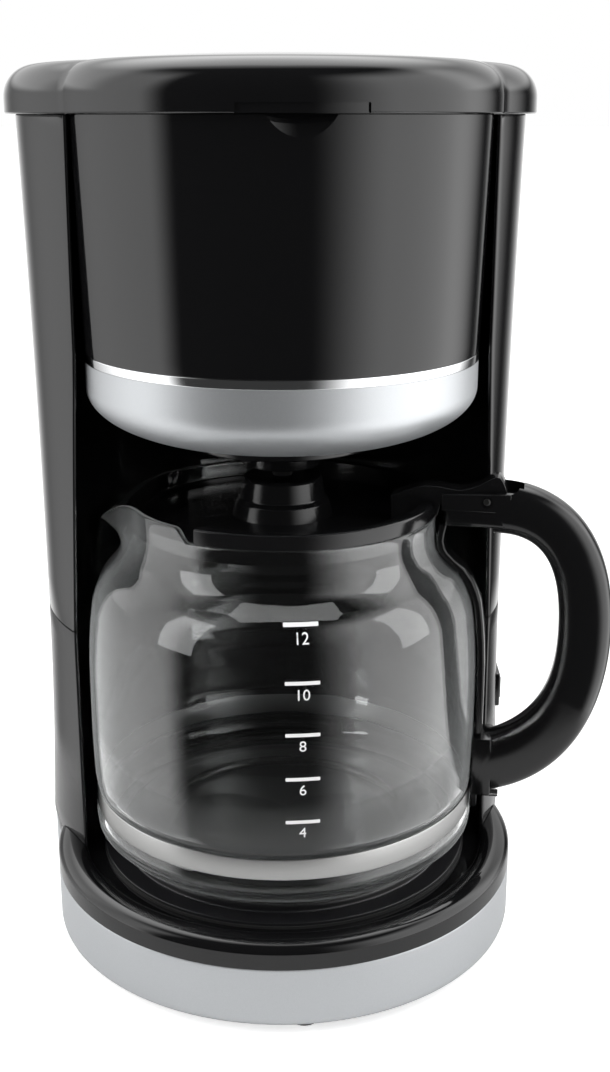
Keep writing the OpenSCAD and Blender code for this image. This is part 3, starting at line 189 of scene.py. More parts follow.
def clearGlass():
    made = Finish("clearGlass", color=(0.975, 0.985, 0.985), rough=0.0, glass=1.0, ior=1.47)
    # where the wall is seen edge-on it takes a share of a lit soft white, a painted highlight along its
    # outline, so that its outline shows against black
    facing = made.node("ShaderNodeLayerWeight", {}, {"Blend": 0.5})["Facing"]
    share = (facing * facing * facing * 0.42).math("MINIMUM", 0.35)
    soft = made.node("ShaderNodeBsdfDiffuse", {}, {"Color": (0.60, 0.62, 0.62, 1)})["BSDF"]
    clear = Value(made, made.shader.outputs["BSDF"])
    both = made.node("ShaderNodeMixShader", {}, {0: share, 1: clear, 2: soft})["Shader"]
    made.tree.links.new(both.socket, made.tree.nodes["Material Output"].inputs["Surface"])
    return made.material


def plateCoating():
    made = Finish("plateCoating", color=(0.010, 0.010, 0.011))
    made.set("rough", made.noise(1400, 2) * 0.12 + 0.26)
    made.set("normal", made.bump(made.noise(1800, 2), 0.2, 0.0001))
    return made.material


def plain(name, color, rough, grain=300, metal=0.0):
    made = Finish(name, color=color, metal=metal)
    made.set("rough", made.noise(grain, 2) * 0.1 + rough)
    return made.material


finishes = {
    "gloss_black": glossBlack(), "satin_black": satinBlack(), "silver_plastic": silverPlastic(),
    "chrome_trim": chromeTrim(), "steel": satinSteel(), "plate_coating": plateCoating(),
    "clear_glass": clearGlass(),
    "heater_aluminium": plain("heaterAluminium", (0.68, 0.68, 0.69), 0.32, 400, 1.0),
    "soft_rubber": plain("softRubber", (0.16, 0.16, 0.16), 0.6, 500),
    "silicone": plain("siliconeRubber", (0.02, 0.02, 0.02), 0.45),
    "natural_plastic": plain("naturalPlastic", (0.62, 0.62, 0.59), 0.36),
}
darkSteel = plain("darkSteel", (0.10, 0.10, 0.10), 0.3, 300, 1.0)
darkStem = plain("darkStem", (0.012, 0.012, 0.012), 0.35)
printInk = plain("printInk", (0.86, 0.86, 0.86), 0.5)
print("finishes made:", len(finishes))

for part in frame["record"]["subparts"]:
    node = frame["nodes"][part["node"]]
    node.data.materials.clear()
    node.data.materials.append(finishes[part["material_slot"]])
for name in ("drip_stem", "drip_seal"):
    frame["nodes"][name].data.materials[0] = darkStem


# an outline whose corners are (across, up, radius), with each corner rounded by its radius
def softened(corners, closed=True, steps=6):
    made = []
    for i, (x, z, radius) in enumerate(corners):
        here = Vector((x, z))
        if radius == 0 or (not closed and i in (0, len(corners) - 1)):
            made.append((x, z))
            continue
        before = Vector(corners[i - 1][:2]) - here
        after = Vector(corners[(i + 1) % len(corners)][:2]) - here
        half = before.angle(after) / 2
        reach = min(radius / math.tan(half), 0.49 * before.length, 0.49 * after.length)
        radius = reach * math.tan(half)
        middle = here + (before.normalized() + after.normalized()).normalized() * radius / math.sin(half)
        start = here + before.normalized() * reach - middle
        turn = start.angle_signed(here + after.normalized() * reach - middle)
        for k in range(steps + 1):
            made.append(tuple(middle + Matrix.Rotation(-turn * k / steps, 2) @ start))
    return made


# long straight stretches of an outline get points of their own, so that a cut there stays smooth
def refined(outline, spacing=4):
    made = [outline[0]]
    for point in outline[1:]:
        start, end = Vector(made[-1]), Vector(point)
        count = int((end - start).length / spacing)
        made += [tuple(start.lerp(end, (k + 1) / (count + 1))) for k in range(count)] + [point]
    return made


def bezier(points, t):
    a, b, c, d = (Vector(p) for p in points)
    return a * (1 - t) ** 3 + 3 * b * t * (1 - t) ** 2 + 3 * c * t * t * (1 - t) + d * t ** 3


def curved(points, steps):
    return [tuple(bezier(points, k / steps)) for k in range(steps + 1)]


def ellipse(cx, cz, a, b, start, end, steps=24):
    turns = [math.radians(start + (end - start) * k / steps) for k in range(steps + 1)]
    return [(cx + a * math.cos(t), cz + b * math.sin(t)) for t in turns]


# an outline of (radius, height) turned round the brew axis
def spun(outline, steps=192, closed=True, turn=360, start=0, center=(0, 0)):
    shape = bmesh.new()
    verts = [shape.verts.new((r, 0, z)) for r, z in outline]
    edges = [shape.edges.new(pair) for pair in zip(verts, verts[1:])]
    if closed:
        edges.append(shape.edges.new((verts[-1], verts[0])))
    bmesh.ops.rotate(shape, verts=verts, cent=(0, 0, 0), matrix=Matrix.Rotation(math.radians(start), 3, "Z"))
    bmesh.ops.spin(shape, geom=verts + edges, cent=(0, 0, 0), axis=(0, 0, 1),
                   angle=math.radians(turn), steps=steps, use_merge=turn == 360)
    bmesh.ops.translate(shape, verts=shape.verts, vec=(*center, 0))
    bmesh.ops.remove_doubles(shape, verts=shape.verts, dist=0.0005)
    bmesh.ops.holes_fill(shape, edges=shape.edges, sides=0)
    bmesh.ops.recalc_face_normals(shape, faces=shape.faces)
    return shape


def loopOf(shape, points):
    verts = [shape.verts.new(p) for p in points]
    return [shape.edges.new(pair) for pair in zip(verts, verts[1:] + verts[:1])]


# rings of points, all with the same count, joined one to the next
def lofted(rings, capped=True):
    shape = bmesh.new()
    loops = [loopOf(shape, ring) for ring in rings]
    for lower, upper in zip(loops, loops[1:]):
        bmesh.ops.bridge_loops(shape, edges=lower + upper)
    if capped:
        bmesh.ops.holes_fill(shape, edges=shape.edges, sides=0)
    bmesh.ops.recalc_face_normals(shape, faces=shape.faces)
    return shape


# an outline in the plane of distance and height, given a width across it
def slab(outline, width, soft=0, y=0):
    shape = bmesh.new()
    loopOf(shape, [(s, y - width / 2, z) for s, z in outline])
    made = bmesh.ops.contextual_create(shape, geom=shape.edges[:])
    grown = bmesh.ops.extrude_face_region(shape, geom=made["faces"])
    moved = [v for v in grown["geom"] if isinstance(v, bmesh.types.BMVert)]
    bmesh.ops.translate(shape, vec=(0, width, 0), verts=moved)
    bmesh.ops.recalc_face_normals(shape, faces=shape.faces)
    if soft:
        rims = [e for e in shape.edges if abs(e.verts[0].co.y - e.verts[1].co.y) < 1e-6]
        bmesh.ops.bevel(shape, geom=rims, offset=soft, segments=3, profile=0.5, affect="EDGES",
                        material=-1, clamp_overlap=True)
    return shape


def block(low, high):
    shape = bmesh.new()
    bmesh.ops.create_cube(shape, size=1)
    size = Vector(high) - Vector(low)
    bmesh.ops.scale(shape, verts=shape.verts, vec=size)
    bmesh.ops.translate(shape, verts=shape.verts, vec=(Vector(low) + Vector(high)) / 2)
    return shape


def rod(radius, start, end, sides=48):
    shape = bmesh.new()
    axis = Vector(end) - Vector(start)
    bmesh.ops.create_cone(shape, cap_ends=True, segments=sides, radius1=radius, radius2=radius,
                          depth=axis.length)
    turn = Vector((0, 0, 1)).rotation_difference(axis).to_matrix()
    bmesh.ops.rotate(shape, verts=shape.verts, cent=(0, 0, 0), matrix=turn)
    bmesh.ops.translate(shape, verts=shape.verts, vec=(Vector(start) + Vector(end)) / 2)
    return shape


def turned(shape, degrees):
    turn = Matrix.Rotation(math.radians(degrees), 3, "Z")
    bmesh.ops.rotate(shape, verts=shape.verts, cent=(0, 0, 0), matrix=turn)
    return shape


def joined(*shapes):
    whole = bmesh.new()
    for shape in shapes:
        data = bpy.data.meshes.new("joining")
        shape.to_mesh(data)
        shape.free()
        whole.from_mesh(data)
        bpy.data.meshes.remove(data)
    return whole


# one shape with others added to it or taken from it
def combined(shape, operation, *tools):
    for tool in tools:
        pair = []
        for part in (shape, tool):
            data = bpy.data.meshes.new("part")
            part.to_mesh(data)
            part.free()
            pair.append(bpy.data.objects.new("part", data))
            bpy.context.scene.collection.objects.link(pair[-1])
        change = pair[0].modifiers.new("change", "BOOLEAN")
        change.operation, change.object, change.solver = operation, pair[1], "EXACT"
        bpy.context.view_layer.update()
        seen = pair[0].evaluated_get(bpy.context.evaluated_depsgraph_get())
        shape = bmesh.new()
        shape.from_mesh(seen.to_mesh())
        for part in pair:
            data = part.data
            bpy.data.objects.remove(part)
            bpy.data.meshes.remove(data)
        bmesh.ops.remove_doubles(shape, verts=shape.verts, dist=0.0005)
        bmesh.ops.dissolve_degenerate(shape, edges=shape.edges, dist=0.0005)
    return shape


def finished(name, shape, slotName, body, *replaced, crease=32, finish=None):
    bmesh.ops.transform(shape, matrix=toMachine, verts=shape.verts)
    data = bpy.data.meshes.new(name)
    shape.to_mesh(data)
    shape.free()
    data.shade_smooth()
    data.set_sharp_from_angle(angle=math.radians(crease))
    data.materials.append(finish or finishes[slotName])
    piece = bpy.data.objects.new(name, data)
    bpy.context.scene.collection.objects.link(piece)
    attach(piece, body)
    if replaced:
        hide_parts(*replaced)
    return piece


# the rear mouldings: a circle about a second axis, cut flat behind, with the round bay cut out of its front
rear = {"y": 41.0, "cornerR": 34.0, "wall": 2.4, "tipR": 0.9, "soft": 0.5}


def arcPoints(cx, cy, r, start, end, steps):
    turns = [start + (end - start) * k / steps for k in range(steps + 1)]
    return [(cx + r * math.cos(t), cy + r * math.sin(t)) for t in turns]


# the right half of the rear outline, from the angle start round to the middle of the back
def rearHalf(radius, inset, start):
    cy = sizes["backY"] - rear["cornerR"]
    cx = math.sqrt((radius - rear["cornerR"]) ** 2 - (cy - rear["y"]) ** 2)
    corner = math.atan2(cy - rear["y"], cx)
    half = arcPoints(0, rear["y"], radius - inset, start, corner, 48)
    half += arcPoints(cx, cy, rear["cornerR"] - inset, corner, math.pi / 2, 14)[1:]
    return half + [(cx * (1 - k / 4), sizes["backY"] - inset) for k in range(1, 5)]


def mirrored(half):
    return half + [(-x, y) for x, y in half[-2:0:-1]]


def rearR(z):
    low, top = (sizes["rearLowR"], sizes["deckTop"]), (sizes["rearTopR"], sizes["housingTop"])
    radius, end = top if z > sizes["housingLow"] else low
    share = (z - sizes["housingLow"]) / (end - sizes["housingLow"])
    return sizes["rearWaistR"] + (radius - sizes["rearWaistR"]) * share ** 2


def bayR(z):
    start = sizes["housingLow"] - 3
    share = min(1, max(0, (z - start) / (sizes["bandLow"] - start)))
    return sizes["bayLowR"] + (sizes["bayTopR"] - sizes["bayLowR"]) * share


def crescentRing(z, inset):
    outer, bay, tip = rearR(z), bayR(z) + inset, rear["tipR"] * (1 if inset < 1 else 0.5)
    y = ((bay + tip) ** 2 - (outer - inset - tip) ** 2 + rear["y"] ** 2) / (2 * rear["y"])
    x = math.sqrt((bay + tip) ** 2 - y ** 2)
    bayEnd, rearStart = math.atan2(y, x), math.atan2(y - rear["y"], x)
    half = arcPoints(0, 0, bay, math.pi / 2, bayEnd, 40)
    half += arcPoints(x, y, tip, bayEnd + math.pi, rearStart + 2 * math.pi, 8)[1:-1]
    return [(px, py, z) for px, py in mirrored(half + rearHalf(outer, inset, rearStart))]


def crescentShell(low, top, steps=14):
    soft = rear["soft"]
    levels = [low + soft + (top - low - 2 * soft) * k / steps for k in range(steps + 1)]
    rings = [(low, soft), (low + 0.3 * soft, 0.3 * soft)] + [(z, 0) for z in levels]
    rings += [(top - 0.3 * soft, 0.3 * soft), (top, soft), (top, rear["wall"])]
    rings += [(z, rear["wall"]) for z in reversed(levels[::2])] + [(low, rear["wall"])]
    loops = [crescentRing(z, inset) for z, inset in rings]
    return lofted(loops + loops[:1], capped=False)


# a thin upright tube between two insets of the same outline
def crescentTube(low, top, outset, inset):
    loops = [crescentRing(z, gap) for z, gap in ((low, outset), (top, outset), (top, inset), (low, inset))]
    return lofted(loops + loops[:1], capped=False)


# the lid's hinge: a rod along the back edge, with a lug of the housing at each end of the lid's knuckle
hinge = {"y": sizes["backY"] - 1, "z": sizes["housingTop"] - 4, "r": 4.0, "halfW": 44, "knuckleHalf": 30,
         "gap": 0.4}
riser = {"slotHalf": 8, "slotLow": 301, "slotHigh": 340}     # the slot that the riser pipe's nozzle passes


def hingeRod(radius, start, end):
    return rod(radius, (start, hinge["y"], hinge["z"]), (end, hinge["y"], hinge["z"]))


def riserSlot(near):
    return block((-riser["slotHalf"], near, riser["slotLow"]), (riser["slotHalf"], 100, riser["slotHigh"]))


def upperHousing():
    shell = crescentShell(sizes["housingLow"], sizes["housingTop"])
    outer, inner = hinge["halfW"], hinge["knuckleHalf"] + hinge["gap"]
    lugs = [hingeRod(hinge["r"], *sorted((side * inner, side * outer))) for side in (-1, 1)]
    shell = combined(shell, "UNION", *lugs)
    gap = block((-inner, hinge["y"] - 9, hinge["z"] - 5), (inner, hinge["y"] + 5, hinge["z"] + 10))
    shell = combined(shell, "DIFFERENCE", gap, riserSlot(70))
    return finished("upperHousing", shell, "gloss_black", "housing", "upper_housing")


# the power switch in the right side of the column; its hole has less than the frame by a slack all round
switchAt = {"angle": -7, "z": 84.0, "wide": 21.0, "high": 15.0, "slack": 0.8, "edge": 2.5, "lip": 1.1}
spigot = {"down": 5.7, "up": 3.3, "near": 0.1, "far": 1.4}  # the ring that centres the upper housing


def atSwitch(shape):
    turn = Matrix.Rotation(math.radians(switchAt["angle"]), 4, "Z")
    out = Matrix.Translation((rearR(switchAt["z"]), 0, switchAt["z"]))
    place = Matrix.Translation((0, rear["y"], 0)) @ turn @ out
    bmesh.ops.transform(shape, matrix=place, verts=shape.verts)
    return shape


def lowerColumn():
    shell = crescentShell(sizes["deckTop"], sizes["columnTop"])
    wide, high = switchAt["wide"] / 2 - switchAt["slack"], switchAt["high"] / 2 - switchAt["slack"]
    hole = atSwitch(block((-12, -wide, -high), (8, wide, high)))
    shell = combined(shell, "DIFFERENCE", hole)
    ring = crescentTube(sizes["columnTop"] - spigot["down"], sizes["columnTop"] + spigot["up"],
                        rear["wall"] + spigot["near"], rear["wall"] + spigot["far"])
    return finished("lowerColumn", joined(shell, ring), "satin_black", "housing", "lower_column")


# the frame's lip stands on the column, and the CAD's rocker shows in its window
def powerSwitch():
    wide, high, edgeW = switchAt["wide"] / 2, switchAt["high"] / 2, switchAt["edge"]
    lip = block((-0.5, -wide, -high), (switchAt["lip"], wide, high))
    corners = [e for e in lip.edges if abs(e.verts[0].co.x - e.verts[1].co.x) > 1]
    bmesh.ops.bevel(lip, geom=corners, offset=1.4, segments=4, profile=0.5, affect="EDGES", material=-1)
    front = [e for e in lip.edges if min(v.co.x for v in e.verts) > 1]
    bmesh.ops.bevel(lip, geom=front, offset=0.5, segments=3, profile=0.5, affect="EDGES", material=-1)
    body = block((-5, 1 - wide, 1 - high), (0, wide - 1, high - 1))
    window = block((-7, edgeW - wide, edgeW - high), (7, wide - edgeW, high - edgeW))
    frameShape = combined(combined(lip, "UNION", body), "DIFFERENCE", window)
    return finished("switchFrame", atSwitch(frameShape), "satin_black", "housing", "switch_bezel")


def ringPiece(name, corners, slotName, body, *replaced, steps=192):
    return finished(name, spun(softened(corners), steps), slotName, body, *replaced)


def drumR(z):
    share = (z - sizes["bandTop"]) / (sizes["housingTop"] - sizes["bandTop"])
    return sizes["bandR"] + (sizes["drumTopR"] - sizes["bandR"]) * share


# the drum round the filter basket: the basket stands on its ledge, and a scoop lets a finger under the lid
filterDrum = {"wall": 2.4, "rimW": 5.2, "rimH": 11, "rimEnd": 14,
              "scoopR": 45, "scoopOut": 41.6, "scoopUp": 9.3,
              "ledgeZ": edge("filter_basket", "Z") - 9, "ledgeR": edge("filter_basket", "X") - 2.3,
              "ledgeH": 1.6, "ledgeFoot": 7}


def drum():
    top, low, wall = sizes["housingTop"], sizes["bandTop"], filterDrum["wall"]
    rimR, rimLow = drumR(top) - filterDrum["rimW"], top - filterDrum["rimH"]
    rimEnd = top - filterDrum["rimEnd"]
    outline = softened([(drumR(low) - wall, low, 0), (drumR(low), low, 0.3), (drumR(top), top, 0.3),
                        (rimR, top, 0.4), (rimR, rimLow, 2), (drumR(rimEnd) - wall, rimEnd, 2)])
    shell = spun(refined(outline))
    scoop = bmesh.new()
    bmesh.ops.create_uvsphere(scoop, u_segments=128, v_segments=96, radius=filterDrum["scoopR"])
    bmesh.ops.translate(scoop, verts=scoop.verts,
                        vec=(0, -drumR(top) - filterDrum["scoopOut"], top + filterDrum["scoopUp"]))
    shell = combined(shell, "DIFFERENCE", scoop, riserSlot(55))
    ledgeTop, ledgeR = filterDrum["ledgeZ"], filterDrum["ledgeR"]
    hold = drumR(ledgeTop) - 2.2        # a little inside the wall
    ledge = spun([(hold, ledgeTop), (ledgeR, ledgeTop), (ledgeR, ledgeTop - filterDrum["ledgeH"]),
                  (hold, ledgeTop - filterDrum["ledgeFoot"])])
    return finished("drum", joined(shell, ledge), "gloss_black", "housing", "drum_shell", crease=20)


def chromeBand():
    r = sizes["bandR"]
    return ringPiece("chromeBand", [(r - 2.4, sizes["bandLow"], 0), (r, sizes["bandLow"], 0.35),
                                    (r, sizes["bandTop"], 0.35), (r - 2.4, sizes["bandTop"], 0)],
                     "chrome_trim", "housing", "chrome_band")


bowl = {"flatR": 34, "curveH": 19.5, "wall": 2, "holeR": 31, "r": 74.0}


def silverBowl():
    low, top, wall = sizes["bowlLow"], sizes["bandLow"], bowl["wall"]
    a, b, curveZ = bowl["r"] - bowl["flatR"], bowl["curveH"], low + bowl["curveH"]
    outer = ellipse(bowl["flatR"], curveZ, a, b, 0, -90, 40)
    inner = ellipse(bowl["flatR"], curveZ, a - wall, b - wall, -90, 0, 40)
    outline = [(bowl["r"], top), (bowl["r"], curveZ + 5)] + outer
    outline += [(bowl["holeR"], low), (bowl["holeR"], low + wall)] + inner + [(bowl["r"] - wall, top)]
    return finished("silverBowl", spun(outline), "silver_plastic", "housing", "silver_bowl")


outlet = {"holeR": 12.5, "wall": 2, "flangeH": 3.7, "seatW": 6.2, "collarH": 2.6}


def outletRing():
    low, r, seat = edge("outlet_ring", "z"), edge("outlet_ring", "X"), sizes["bowlLow"]
    hole, wall, flange = outlet["holeR"], outlet["wall"], seat - outlet["flangeH"]
    collar, collarTop = r - outlet["seatW"], seat + outlet["collarH"]
    corners = [(hole, low, 0.3), (hole + wall, low, 0.6), (hole + wall, flange, 0.8), (r, flange, 0.8),
               (r, seat, 0), (collar, seat, 0), (collar, collarTop, 0.3), (collar - wall, collarTop, 0.3),
               (collar - wall, flange + wall, 0), (hole, flange + wall, 0)]
    return ringPiece("outletRing", corners, "satin_black", "housing", "outlet_ring")


# the base: a silver skirt, and over it the black deck with a rounded crest round the hot plate
base = {"low": 3.5, "round": 3.0, "wall": 2.4, "crestR": 87.2, "crestZ": 37.5, "sideZ": 33.3, "grooveZ": 32.4,
        "ringR": 81.0, "rearR": 97.0, "cordX": 44, "cordZ": 17, "cordR": 4.5}


def planRing(z, inset, radius=None):
    half = rearHalf(radius or base["rearR"], inset, -math.pi / 2)
    return [(x, y, z) for x, y in mirrored(half)]


def skirt():
    low, top, bend = base["low"], sizes["skirtTop"], base["round"]
    curve = [(low + bend * (1 - math.cos(math.radians(15 * k))), bend * (1 - math.sin(math.radians(15 * k))))
             for k in range(7)]
    rings = curve + [(low + bend + 1, 0), (top - 1, 0), (top - 0.3, 0), (top - 0.1, 0.1), (top, 0.3)]
    side = [(sizes["baseR"] - inset, z) for z, inset in rings]
    front = spun([(0, low)] + side + [(0, top)], 256, closed=False)
    back = lofted([planRing(z, inset) for z, inset in rings])
    well, foot = base["wall"], base["wall"] + bend
    hollows = [rod(sizes["baseR"] - well, (0, 0, low + well), (0, 0, top + 9), 128),
               lofted([planRing(z, well) for z in (low + well, top + 9)]),
               rod(sizes["baseR"] - foot, (0, 0, low - 9), (0, 0, low + well + 1), 128),
               lofted([planRing(z, foot) for z in (low - 9, low + well + 1)])]
    hollows.append(rod(base["cordR"], (base["cordX"], sizes["backY"] - 12, base["cordZ"]),
                       (base["cordX"], sizes["backY"] + 5, base["cordZ"])))
    shape = combined(combined(front, "UNION", back), "DIFFERENCE", *hollows)
    return finished("skirt", shape, "silver_plastic", "housing", "base_skirt")


# where the screws of the bottom cover reach up into the deck
def screwPlaces():
    r, back = sizes["baseR"], sizes["backY"] - 32
    return [(0, 24 - r), (r - 26, 22), (26 - r, 22), (66, back), (-66, back)]


def deck():
    r, foot, crest, top = sizes["baseR"], sizes["skirtTop"] + 0.01, base["crestR"], sizes["deckTop"]
    ringR, groove = base["ringR"], base["grooveZ"]
    outer = [(r, foot)] + ellipse(crest, base["sideZ"], r - crest, base["crestZ"] - base["sideZ"], 0, 90, 16)
    inner = ellipse(crest, top, crest - ringR, base["crestZ"] - top, 90, 180, 12)[1:]
    ring = spun(outer + inner + [(ringR, groove), (70, groove), (70, groove - 2), (ringR, groove - 2),
                                 (ringR + 2, foot)], 256)
    levels = ((foot, 0.3), (top - 0.6, 0.3), (top - 0.2, 0.5), (top, 0.9))
    back = lofted([planRing(z, inset) for z, inset in levels])
    back = combined(back, "DIFFERENCE", rod(ringR + 1, (0, 0, 0), (0, 0, 60), 192))
    ring = combined(ring, "DIFFERENCE", lofted([crescentRing(z, -0.15) for z in (top + 0.01, 60)]))
    boss = [(1.6, base["low"]), (4.2, base["low"] + 5.2), (4.2, groove - 1.9), (1.6, groove - 1.9)]
    bosses = [spun(boss, 32, center=place) for place in screwPlaces()]
    whole = joined(combined(ring, "UNION", back), *bosses)
    return finished("deck", whole, "gloss_black", "housing", "base_deck")


plate = {"r": 64.0, "bend": 2.4, "sheet": 1.2, "flangeW": 10}


def hotPlate():
    top, r, sheet, flangeZ = sizes["plateTop"], plate["r"], plate["sheet"], base["grooveZ"] + 1
    flangeR = r + plate["flangeW"]
    corners = [(0, top, 0), (r + plate["bend"], top, 2.4), (r + plate["bend"], flangeZ + sheet, 0.8),
               (flangeR, flangeZ + sheet, 0.4), (flangeR, flangeZ, 0), (r + 1.2, flangeZ, 0.5),
               (r + 1.2, top - sheet, 1.5), (0, top - sheet, 0)]
    shape = spun(softened(corners, closed=False), 256, closed=False)
    return finished("hotPlate", shape, "plate_coating", "housing", "hot_plate")


# the lid: a round lobe over the drum and a wider one over the tank, as one smooth moulding
lid = {"frontR": 80.8, "rearR": 101.9, "side": 5.5, "round": 12.0, "crown": 2.8, "wall": 2.2, "soft": 0.4,
       "thumbW": 42.6, "thumbH": 3.2, "tabR": 70.0, "tabBack": 0.5, "tabH": 8, "lipH": 2.6, "lipW": 1.6}


# the lid's section as (height, inset) up to where the crown begins
def lidSection(inset):
    low, bend = sizes["lidLow"], lid["round"] - inset
    centerZ = low + lid["side"]
    soft = lid["soft"]
    made = [(low - 3, 0)] if inset else [(low, soft), (low + 0.25, 0.25), (low + soft, 0), (low + 2, 0)]
    made = [(z, shift + inset) for z, shift in made]
    return made + [(centerZ + bend * math.sin(t), lid["round"] - bend * math.cos(t))
                   for t in (math.radians(6 * k) for k in range(16))]


def lidLobes(inset):
    section, foot = lidSection(inset), sizes["lidLow"] + lid["side"] + lid["round"] - inset
    crown = [(0.97 - 0.06 * k, foot + lid["crown"] * (1 - (0.97 - 0.06 * k) ** 2)) for k in range(16)]
    flat = lid["frontR"] - lid["round"]
    profile = [(0, section[0][0])] + [(lid["frontR"] - shift, z) for z, shift in section]
    profile += [(flat * q, z) for q, z in crown] + [(0, foot + lid["crown"])]
    front = spun(profile, 192, closed=False)
    rings = [planRing(z, shift, lid["rearR"]) for z, shift in section]
    last = rings[-1]
    rings += [[(x * q, rear["y"] + (y - rear["y"]) * q, z) for x, y, _ in last] for q, z in crown]
    return combined(front, "UNION", lofted(rings))


def walled(low, high, near, far):
    return [(near, low), (far, low), (far, high), (near, high)]


# the front edge has a thumb notch with a tab behind it, and a lip below goes into the drum, open at the riser
def brewLid():
    shape = combined(lidLobes(0), "DIFFERENCE", lidLobes(lid["wall"]))
    low, half, tabR = sizes["lidLow"], lid["thumbW"] / 2, lid["tabR"]
    thumb = block((-half, -lid["frontR"] - 5, low - 2), (half, -lid["frontR"] + 7, low + lid["thumbH"]))
    tab = spun(walled(low, low + lid["tabH"], tabR - 2, tabR), 96, turn=44, start=-112,
               center=(0, tabR - lid["frontR"] + lid["tabBack"]))
    lipR = sizes["drumTopR"] - 6.2
    lip = spun(walled(low - lid["lipH"], low + 13, lipR - lid["lipW"], lipR))
    lip = combined(lip, "DIFFERENCE", block((-9, 40, low - 5), (9, 100, low + 5)))
    shape = combined(combined(shape, "DIFFERENCE", thumb), "UNION", tab, lip)
    reach = hinge["knuckleHalf"] - hinge["gap"]
    arm = block((-reach, sizes["backY"] - 2.2, hinge["z"]), (reach, sizes["backY"] - 0.3, low + 3))
    shape = combined(shape, "UNION", combined(hingeRod(hinge["r"], -reach, reach), "UNION", arm))
    return finished("brewLid", shape, "gloss_black", "lid", "brew_lid")


# the carafe: its middle is the brew axis, its handle stands at one side of the front and its spout opposite
carafe = {"handleAt": -16, "neckR": 60, "wall": 2.2, "spoutOut": 13.5, "spoutHalf": 34, "gapHalf": 66,
          "rise": 5.2, "dip": 12.0, "spoutLow": 24}


def smooth(t):
    t = min(1, max(0, t))
    return t * t * (3 - 2 * t)


# the foot, the waist under the steel band and the body as lists of (radius, height), and the rim's height
def glassProfile():
    low, rim, neck = sizes["glassLow"], sizes["rim"], carafe["neckR"]
    foot = [(52, low), (61.4, low), (73.5, low + 4.8), (76.6, low + 8.1), (77.1, low + 13)]
    steel = [(76.0, low + 15.4), (75.5, low + 16), (75.5, low + 23.6), (76.4, low + 24.8)]
    body = [(77.0, low + 29), (77.2, low + 33), (77.5, low + 46), (77.5, low + 64), (77.4, low + 76),
            (77.0, low + 85), (76.3, low + 93), (75.2, low + 101), (73.9, low + 105), (72.2, low + 109),
            (69.3, low + 113), (65.3, low + 116.4), (62.4, low + 119.4), (60.9, low + 122), (neck, low + 126)]
    return foot, steel, body, rim


# how far round from the spout's axis a point stands, in degrees
def fromSpout(x, y):
    turn = math.degrees(math.atan2(y, x)) - (carafe["handleAt"] + 180)
    return abs((turn + 180) % 360 - 180)


# the rim rises beside the spout and dips at its tip, and the wall swells out to the tip
def pulledSpout(shape):
    low, rim = sizes["rim"] - carafe["spoutLow"], sizes["rim"]
    for vert in shape.verts:
        x, y, z = vert.co
        radius, turn = math.hypot(x, y), fromSpout(x, y)
        if z < low or radius < 50:
            continue
        lift = min(1, (z - low) / (rim - low))
        bulge = (1 - smooth(turn / carafe["spoutHalf"])) * lift ** 1.6
        rise = carafe["rise"] * smooth((carafe["gapHalf"] - turn) / 5)
        rise -= carafe["dip"] * (1 - smooth(turn / 30)) ** 1.3
        grown = 1 + carafe["spoutOut"] * bulge / radius
        vert.co = (x * grown, y * grown, z + rise * max(0, lift * 1.6 - 0.6))


# for each point of a curve, the direction square to the curve, on its right
def outward(points):
    made = []
    for i in range(len(points)):
        run = (Vector(points[min(i + 1, len(points) - 1)]) - Vector(points[max(i - 1, 0)])).normalized()
        made.append((run.y, -run.x))
    return made


# a curve through all the points
def rounded(points, steps=6):
    made = []
    last = len(points) - 1
    for i in range(last):
        before, start, end, after = (Vector(points[min(max(i + k, 0), last)]) for k in (-1, 0, 1, 2))
        made += curved([start, start + (end - before) / 6, end - (after - start) / 6, end], steps)[:-1]
    return made + [points[-1]]


def carafeGlass():
    foot, steel, body, rim = glassProfile()
    wall, neck, beadZ, floorZ = carafe["wall"], carafe["neckR"], rim - 0.8, foot[0][1] + 1.2
    outer = [(0, floorZ), (46, floorZ)] + foot + steel + body + [(neck, rim - 3), (neck, beadZ)]
    bead = arcPoints(neck - wall / 2, beadZ, wall / 2, 0, math.pi, 8)[1:]
    inner = []
    for i, (r, z) in enumerate(outer[2:-1], 2):
        before, after = Vector(outer[i - 1]), Vector(outer[i + 1])
        across = (after - before).normalized()
        inner.append((r - across.y * wall, z + across.x * wall))
    inner = [(r, z) for r, z in inner if z > floorZ + wall * 0.8]
    outline = outer + bead + inner[::-1] + [(0, floorZ + wall)]
    shape = spun(refined(outline), 256, closed=False)
    pulledSpout(shape)
    bmesh.ops.recalc_face_normals(shape, faces=shape.faces)
    return finished("carafeGlass", shape, "clear_glass", "carafe", "carafe_glass", crease=60)


def steelBand():
    r, low, high = sizes["steelR"], edge("steel_band", "z"), edge("steel_band", "Z")
    corners = [(*corner, 0.3) for corner in walled(low, high, r, r + bandSheet)]
    return ringPiece("steelBand", corners, "steel", "carafe", "steel_band", steps=256)


# the grip: sections between an outer and an inner curve, given as (distance, height)
grip = {"reach": 128.6, "thick": 20.2, "width": 20, "armW": 16, "startS": 82,
        "footLow": 21.8, "footTop": 46.3, "square": 0.7, "sides": 56, "steps": 56}


def gripCurves():
    low, rim, s = sizes["glassLow"], sizes["rim"], grip["startS"]
    midZ, reach, inner = low + 92, grip["reach"], grip["reach"] - grip["thick"]
    up = ([(s + 2, rim + 14.9), (reach - 16.6, rim + 13.4), (reach + 0.2, rim - 7.6), (reach, midZ)],
          [(s, rim - 5.6), (inner - 6.9, rim - 4.1), (inner, rim - 17.6), (inner, midZ)])
    down = ([(reach, midZ), (reach, midZ - 26.2), (reach - 9.6, low + 29.8), (s, low + grip["footLow"])],
            [(inner, midZ), (inner, midZ - 24.2), (inner - 7.4, low + 53.8), (s, low + grip["footTop"])])
    return up, down


